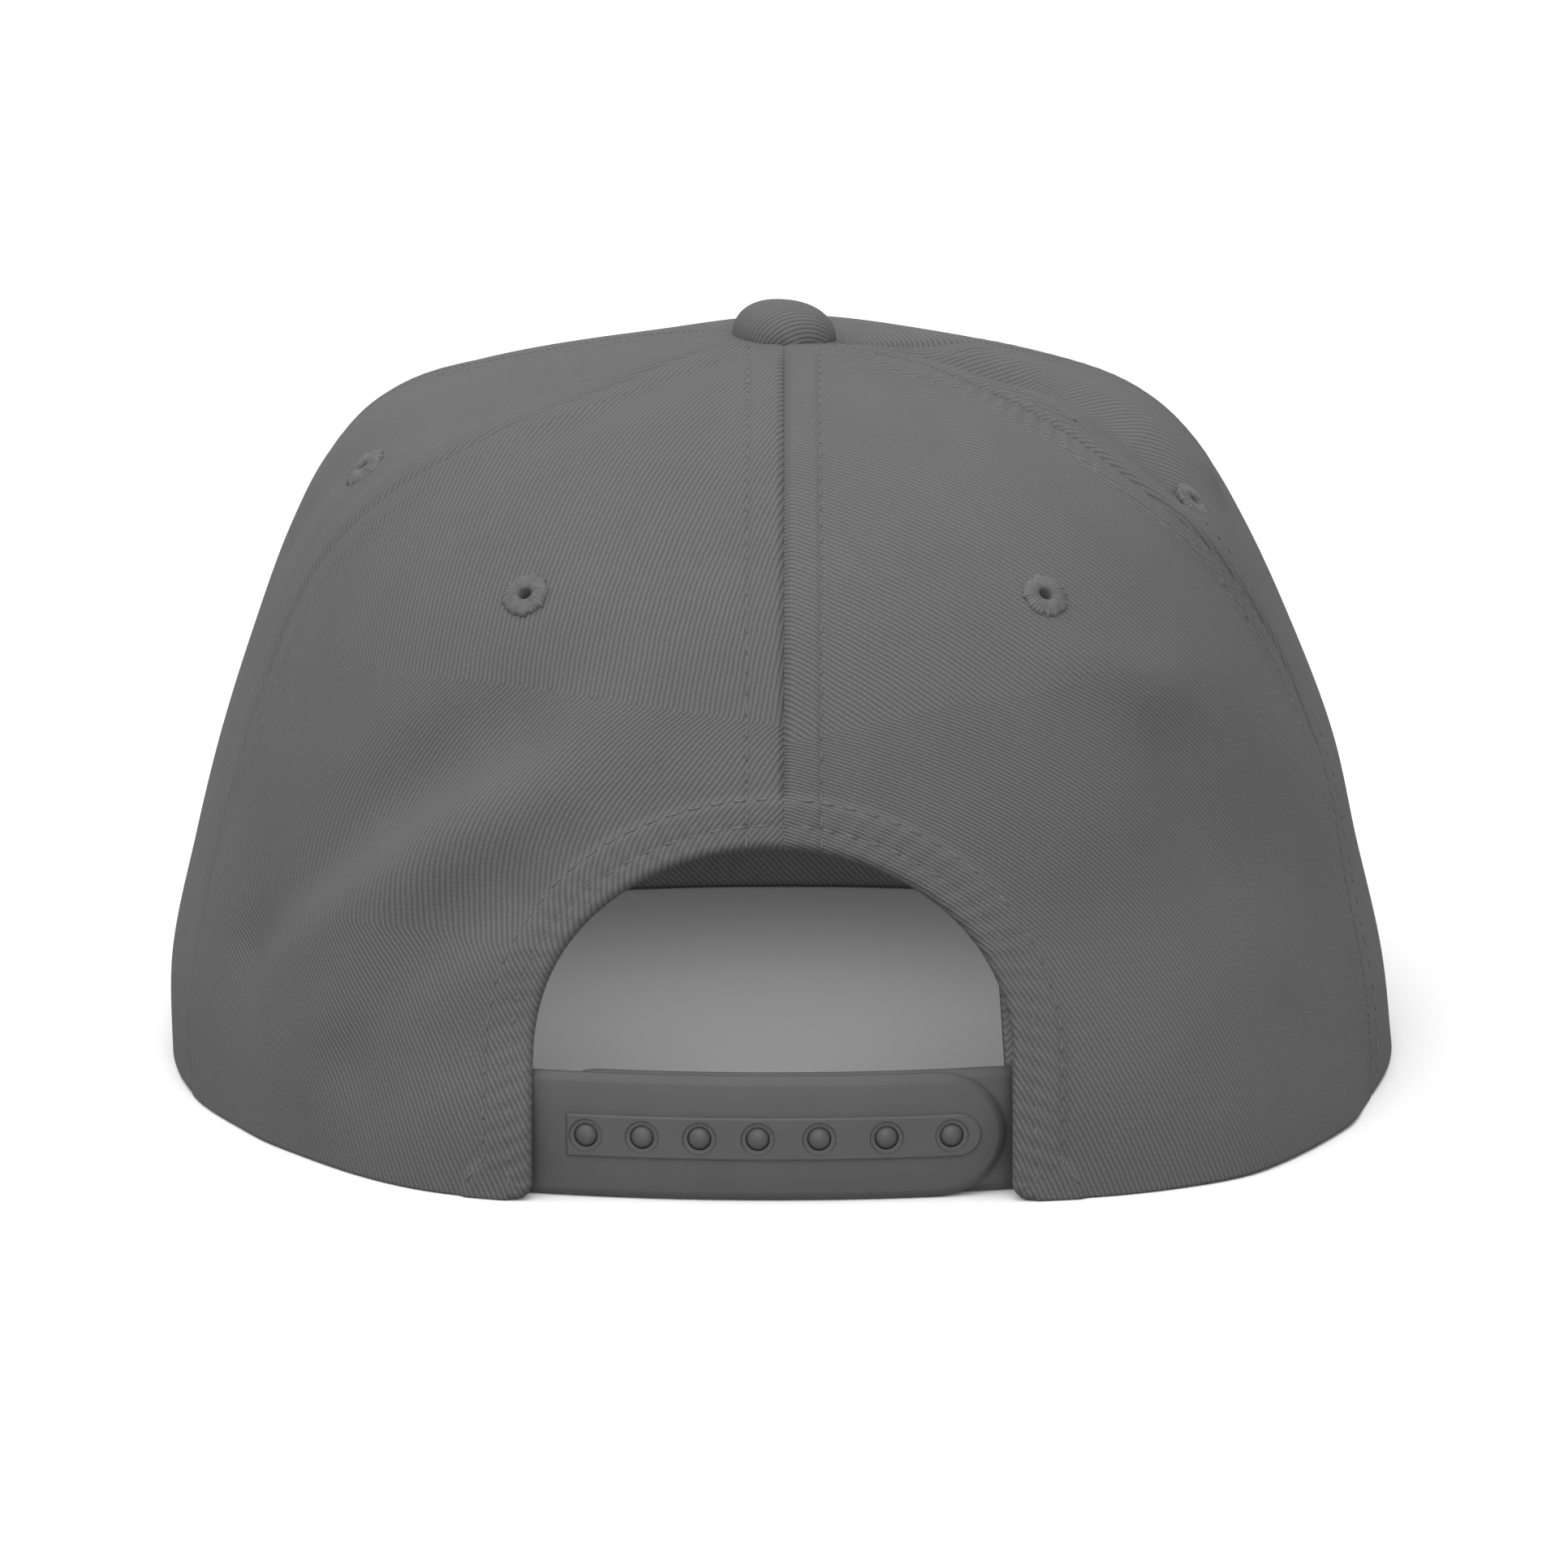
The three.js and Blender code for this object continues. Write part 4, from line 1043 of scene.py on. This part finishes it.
class CAP_OT_bill(bpy.types.Operator):
    """Make the flat bill: two cloths over a board, sewn with rows of stitches"""
    bl_idname = "cap.bill"
    bl_label = "Bill"

    def execute(self, context):
        sizes = context.scene.cap_sizes
        points, gap = bill_grid()
        rows = [BILL_ROWS["first"] + BILL_ROWS["step"] * k for k in range(sizes.bill_rows)]
        groove = sum(BILL_ROWS["deep"] * np.exp(-(((gap - row) / BILL_ROWS["wide"]) ** 2)) for row in rows)
        up = np.broadcast_to(np.array([0.0, 0.0, 1.0]), points.shape)
        c, s = math.cos(math.radians(BILL_RIB)), math.sin(math.radians(BILL_RIB))
        cloth = np.stack([points[..., 1] * c - points[..., 0] * s, points[..., 0] * c + points[..., 1] * s], -1) * MM
        lines = []
        for name, (low, high, sign, round_edge) in BILL_CLOTHS.items():
            face, back = points.copy(), points.copy()
            drop = groove + edge_roll(gap, round_edge)
            face[..., 2], back[..., 2] = (high - drop, low) if sign > 0 else (low + drop, high)
            made_points, faces, source = shell(face, back)
            made = make_piece(name + "_cloth", made_points, faces, finish("twill"), cloth.reshape(-1, 2)[source])
            dress(made, "twill", name)
            for row in rows:
                line = offset_line(face, up * sign, gap, row, 1, True, 0.0)
                if len(line) > 2:
                    lines.append(line)
        for line in lines:
            line[:, 2] = np.maximum(line[:, 2], BILL_THREAD_LOWEST)
        made = run_tree("bill_stitches", stitch_tree(finish("thread")), lines, {
            "Pitch": sizes.stitch_pitch, "Stitch Length": sizes.stitch_length,
            "Thread Width": sizes.thread_width, "Seed": 9,
        })
        dress(made, "thread")
        return {"FINISHED"}


# The sweatband's heights, thickness, puff and rounded edges, and the angles at the back where it begins and ends.
SWEATBAND = {"low": 0.6, "high": 27.5, "thick": 1.2, "puff": 0.25, "edge": 0.5, "left": 22.0, "right": 19.0}
# It stands this far in from the wall, and further in beside the straps, between two angles from the back.
SWEATBAND_STAND = {"lining": 0.5, "straps": 7.2, "from": 48.0, "to": 34.0}


class CAP_OT_sweatband(bpy.types.Operator):
    """Make the sweatband inside the crown"""
    bl_idname = "cap.sweatband"
    bl_label = "Sweatband"

    def execute(self, context):
        band, stand = SWEATBAND, SWEATBAND_STAND
        u, v = np.linspace(0, 1, 261)[:, None], np.linspace(0, 1, 25)[None, :]
        angle = -band["left"] + (band["right"] - 360 + band["left"]) * u + 0 * v
        height = band["low"] + (band["high"] - band["low"]) * v + 0 * u
        from_back = np.minimum(np.abs(angle), np.abs(angle + 360))
        near_straps = smooth(0, stand["from"] - stand["to"], stand["from"] - from_back)
        base = crown(angle, row_of(height))
        clear = WALL + stand["lining"] + (stand["straps"] - stand["lining"]) * near_straps - crease_push(base)
        out = unit(base * np.array([1.0, 1.0, 0.0]))
        edge = np.minimum(v, 1 - v) * (band["high"] - band["low"]) + 0 * u
        puff = band["puff"] * np.sin(np.pi * v) + 0 * u
        outer = base - out * (clear + edge_roll(edge, band["edge"]))[..., None]
        inner = base - out * (clear + band["thick"] + puff - edge_roll(edge, band["edge"]))[..., None]
        outer[..., 2] = inner[..., 2] = height
        # A degree round the band is about 1.6 mm, and its ribs run at 45 degrees.
        cloth = np.stack([height - angle * 1.6, height + angle * 1.6], -1) * MM * 0.7
        points, faces, source = shell(outer, inner)
        made = make_piece("sweatband_cloth", points, faces, finish("sweatband"), cloth.reshape(-1, 2)[source])
        dress(made, "twill", "sweatband")
        return {"FINISHED"}


# Each seam tape's half width, thickness, bow and distance from the wall, and the heights where it begins.
TAPE = {"half": 5.5, "thick": 0.35, "bow": 0.25, "clear": 0.08, "low": 1.0, "back_low": 50.5, "top_radius": 6.5}


class CAP_OT_tapes(bpy.types.Operator):
    """Cover the seams inside the crown with woven tape"""
    bl_idname = "cap.tapes"
    bl_label = "Seam tapes"

    def execute(self, context):
        half, across, along = TAPE["half"], 10, 150
        for name in SEAMS:
            low = float(row_of(TAPE["back_low" if name == "back" else "low"]))
            t = (low + (row_of_radius(TAPE["top_radius"]) - low) * np.linspace(0, 1, along + 1))[:, None]
            w = np.linspace(-1, 1, across + 1)[None, :]
            middle = crown(seam(name, t), t)
            radius = np.hypot(middle[..., 0], middle[..., 1])
            angle = seam(name, t) + np.degrees(w * half / np.maximum(radius, half * 1.2))
            rows = t + 0 * w
            base, normal = crown(angle, rows), crown_normal(angle, rows)
            depth = WALL + TAPE["clear"] - crease_push(base)
            bow = TAPE["bow"] * np.cos(w * np.pi / 2)
            outer = base - normal * (depth + bow)[..., None]
            inner = base - normal * (depth + TAPE["thick"] + bow)[..., None]
            # The tape's weave is laid out on about 130 mm of length.
            run = np.linspace(0, 130, along + 1)[:, None] + 0 * w
            cloth = np.stack([run, w * half + 0 * run], -1) * MM
            points, faces, source = shell(outer, inner)
            made = make_piece(name + "_seam_tape", points, faces, finish("tape"), cloth.reshape(-1, 2)[source])
            dress(made, "twill")
        return {"FINISHED"}


# The straps bend round one arc: its radius, how far back it reaches, its middle, and the straps' height, thickness
# and how much longer than a half circle their round ends are. Across places are as seen from behind.
STRAP = {"radius": 138.0, "reach": 98.0, "middle": -1.5, "low": 0.12, "height": 17.0, "thick": 1.5, "stretch": 1.12}
# Where each strap's square end is hidden in the hem and where its round end stops.
STRAP_ENDS = {"outer": (-41.0, 30.1), "inner": (38.5, -34.5)}
BAND = {"left": -29.3, "right": 26.6, "height": 5.9, "proud": 0.5}
# The snaps' places across, which are spread a little unevenly, their height, and the radius of hole and stud.
SNAP = {"places": (-26.6, -19.0, -11.3, -3.5, 4.7, 13.7, 22.5), "lift": 8.6, "hole": 2.3, "stud": 1.5}


def strap_point(x, depth, z):
    """A point on the straps' arc: x along it as seen from behind, depth in from its outer face."""
    a = (np.asarray(x, float) - STRAP["middle"]) / STRAP["radius"]
    r = STRAP["radius"] - depth
    return np.stack(np.broadcast_arrays(
        STRAP["middle"] + r * np.sin(a), STRAP["radius"] - STRAP["reach"] - r * np.cos(a), z), -1)


def strap_mesh(square, rounded, low, high, profile):
    """A bent strap with one square and one rounded end; profile is inset and depth from front to back."""
    columns, arcs = 70, 28
    half, middle = (high - low) / 2, STRAP["low"] + (high + low) / 2
    toward = np.sign(rounded - square)
    start = rounded - toward * half * STRAP["stretch"]
    loops = []
    for inset, depth in profile:
        x = np.linspace(square + toward * inset, start, columns + 1)
        a = np.linspace(0, np.pi, arcs + 1)[1:-1]
        cap_x = start + toward * (half * STRAP["stretch"] - inset) * np.sin(a)
        xs = np.concatenate([x, cap_x, x[::-1]])
        zs = np.concatenate([np.full(columns + 1, half - inset), (half - inset) * np.cos(a),
                             np.full(columns + 1, inset - half)])
        loops.append(strap_point(xs, depth, middle + zs))
    count = len(loops[0])
    points = np.concatenate(loops)
    ring = np.arange(count)
    faces = []
    for k in range(len(loops) - 1):
        a, b = k * count + ring, k * count + np.roll(ring, -1)
        faces += np.stack([a, b, b + count, a + count], 1).tolist()
    # The first and last loops are filled with strips that join the upper edge to the lower one.
    for k in (0, len(loops) - 1):
        for i in range((count - 1) // 2):
            j = count - 1 - i
            strip = [i, i + 1, j - 1, j] if j - 1 > i + 1 else [i, i + 1, j]
            faces.append([k * count + q for q in (strip if k == 0 else strip[::-1])])
    return points, faces


def solid_object(name, points, faces, material):
    """A mesh object whose faces are turned outwards by Blender."""
    made = make_piece(name, points, faces, material)
    work = bmesh.new()
    work.from_mesh(made.data)
    bmesh.ops.remove_doubles(work, verts=work.verts, dist=1e-7)
    bmesh.ops.recalc_face_normals(work, faces=work.faces)
    work.to_mesh(made.data)
    work.free()
    return made


def soften(made):
    """Smooth shading that keeps the moulded edges crisp, also after a boolean."""
    made.data.polygons.foreach_set("use_smooth", np.ones(len(made.data.polygons), bool))
    made.data.set_sharp_from_angle(angle=math.radians(25))
    made.data.update()


def combine(target, tool, operation):
    """Joins or cuts target with tool, and removes tool."""
    step = target.modifiers.new("boolean", "BOOLEAN")
    step.operation = operation
    step.object = tool
    step.solver = "EXACT"
    bpy.context.view_layer.update()
    seen = target.evaluated_get(bpy.context.evaluated_depsgraph_get())
    result = bpy.data.meshes.new_from_object(seen)
    target.modifiers.clear()
    old = target.data
    target.data = result
    bpy.data.meshes.remove(old)
    bpy.data.objects.remove(tool)


def rod(x, profile, turns=36):
    """A turned shape through the straps at x; profile is radius and depth from front to back."""
    z = STRAP["low"] + SNAP["lift"]
    phi = np.linspace(0, 2 * np.pi, turns, endpoint=False)
    points = []
    for radius, depth in profile:
        points.append(strap_point(x + radius * np.cos(phi), depth, z + radius * np.sin(phi)))
    rings = len(profile)
    faces = []
    ring = np.arange(turns)
    for k in range(rings - 1):
        a, b = k * turns + ring, k * turns + np.roll(ring, -1)
        faces += np.stack([a, b, b + turns, a + turns], 1).tolist()
    faces.append(list(range(turns))[::-1])
    faces.append([(rings - 1) * turns + k for k in range(turns)])
    return np.concatenate(points), faces


def snap_rods(name, profile, material):
    """One mesh of the turned shapes at all the snap places."""
    points, faces = [], []
    for x in SNAP["places"]:
        p, f = rod(x, profile)
        shift = sum(len(q) for q in points)
        points.append(p)
        faces += [[shift + i for i in face] for face in f]
    return solid_object(name, np.concatenate(points), faces, material)


# Profiles are inset or radius, and depth from front to back.
STUD_DOME = ((0.02, -0.85), (0.45, -0.82), (0.85, -0.71), (1.15, -0.55), (1.35, -0.36), (SNAP["stud"], -0.1))
STRAP_GAP = 0.3


class CAP_OT_straps(bpy.types.Operator):
    """Make the two snap straps with their raised band, holes and studs"""
    bl_idname = "cap.straps"
    bl_label = "Snap straps"

    def execute(self, context):
        thick = STRAP["thick"]
        plastic, stud = finish("outer_strap"), finish("stud")
        # Each strap's edges are bevelled in front and slightly eased behind.
        body = [(0.25, thick), (0.0, thick - 0.25), (0.0, 0.75), (0.25, 0.45), (0.95, 0.08), (1.25, 0.0)]
        mesh = strap_mesh(*STRAP_ENDS["outer"], 0, STRAP["height"], body)
        outer = solid_object("snap_strap_outer_moulding", *mesh, plastic)
        low = SNAP["lift"] - BAND["height"] / 2
        proud = BAND["proud"]
        ridge = [(0.0, 0.6), (0.0, -proud + 0.3), (0.1, -proud + 0.1), (0.3, -proud)]
        band = solid_object("band", *strap_mesh(BAND["left"], BAND["right"], low, low + BAND["height"], ridge), plastic)
        combine(outer, band, "UNION")
        holes = snap_rods("holes", [(SNAP["hole"], -proud - 1), (SNAP["hole"], -proud),
                                    (SNAP["hole"] - 0.15, -proud + 0.25), (SNAP["stud"] + 0.12, -proud + 0.3),
                                    (SNAP["stud"] + 0.12, thick + 1)], plastic)
        combine(outer, holes, "DIFFERENCE")
        soften(outer)
        dress(outer, "strap_plastic", "snap_strap_outer")
        depth = thick + STRAP_GAP
        inner_body = [(inset, d + depth) for inset, d in body]
        mesh = strap_mesh(*STRAP_ENDS["inner"], 0, STRAP["height"], inner_body)
        inner = solid_object("snap_strap_inner_moulding", *mesh, plastic)
        stem = [(SNAP["stud"] + 0.06, 0.1), (SNAP["stud"] + 0.06, depth + 0.5)]
        studs = snap_rods("studs", list(STUD_DOME) + stem, stud)
        combine(inner, studs, "UNION")
        soften(inner)
        dress(inner, "strap_plastic", "snap_strap_inner")
        return {"FINISHED"}


class CAP_PT_panel(bpy.types.Panel):
    """The cap's tools and values"""
    bl_label = "Flat Bill Cap"
    bl_idname = "CAP_PT_panel"
    bl_space_type = "VIEW_3D"
    bl_region_type = "UI"
    bl_category = "Cap"

    def draw(self, context):
        for group in (context.scene.cap_sizes, context.scene.cap_colours):
            box = self.layout.box()
            for key in group.__annotations__:
                box.prop(group, key)
        for step in OPERATORS:
            self.layout.operator(step.bl_idname)


OPERATORS = (CAP_OT_stage, CAP_OT_panels, CAP_OT_stitches, CAP_OT_eyelets, CAP_OT_button, CAP_OT_bill,
             CAP_OT_sweatband, CAP_OT_tapes, CAP_OT_straps)
CLASSES = (CapSizes, CapColours) + OPERATORS + (CAP_PT_panel,)


def register():
    """Adds the classes and the scene's values to Blender."""
    for cls in CLASSES:
        bpy.utils.register_class(cls)
    bpy.types.Scene.cap_sizes = PointerProperty(type=CapSizes)
    bpy.types.Scene.cap_colours = PointerProperty(type=CapColours)


def unregister():
    """Takes them away again."""
    del bpy.types.Scene.cap_colours
    del bpy.types.Scene.cap_sizes
    for cls in reversed(CLASSES):
        bpy.utils.unregister_class(cls)


def main():
    """Makes the whole cap in order."""
    register()
    for step in OPERATORS:
        area, name = step.bl_idname.split(".")
        getattr(getattr(bpy.ops, area), name)()


if __name__ == "__main__":
    main()
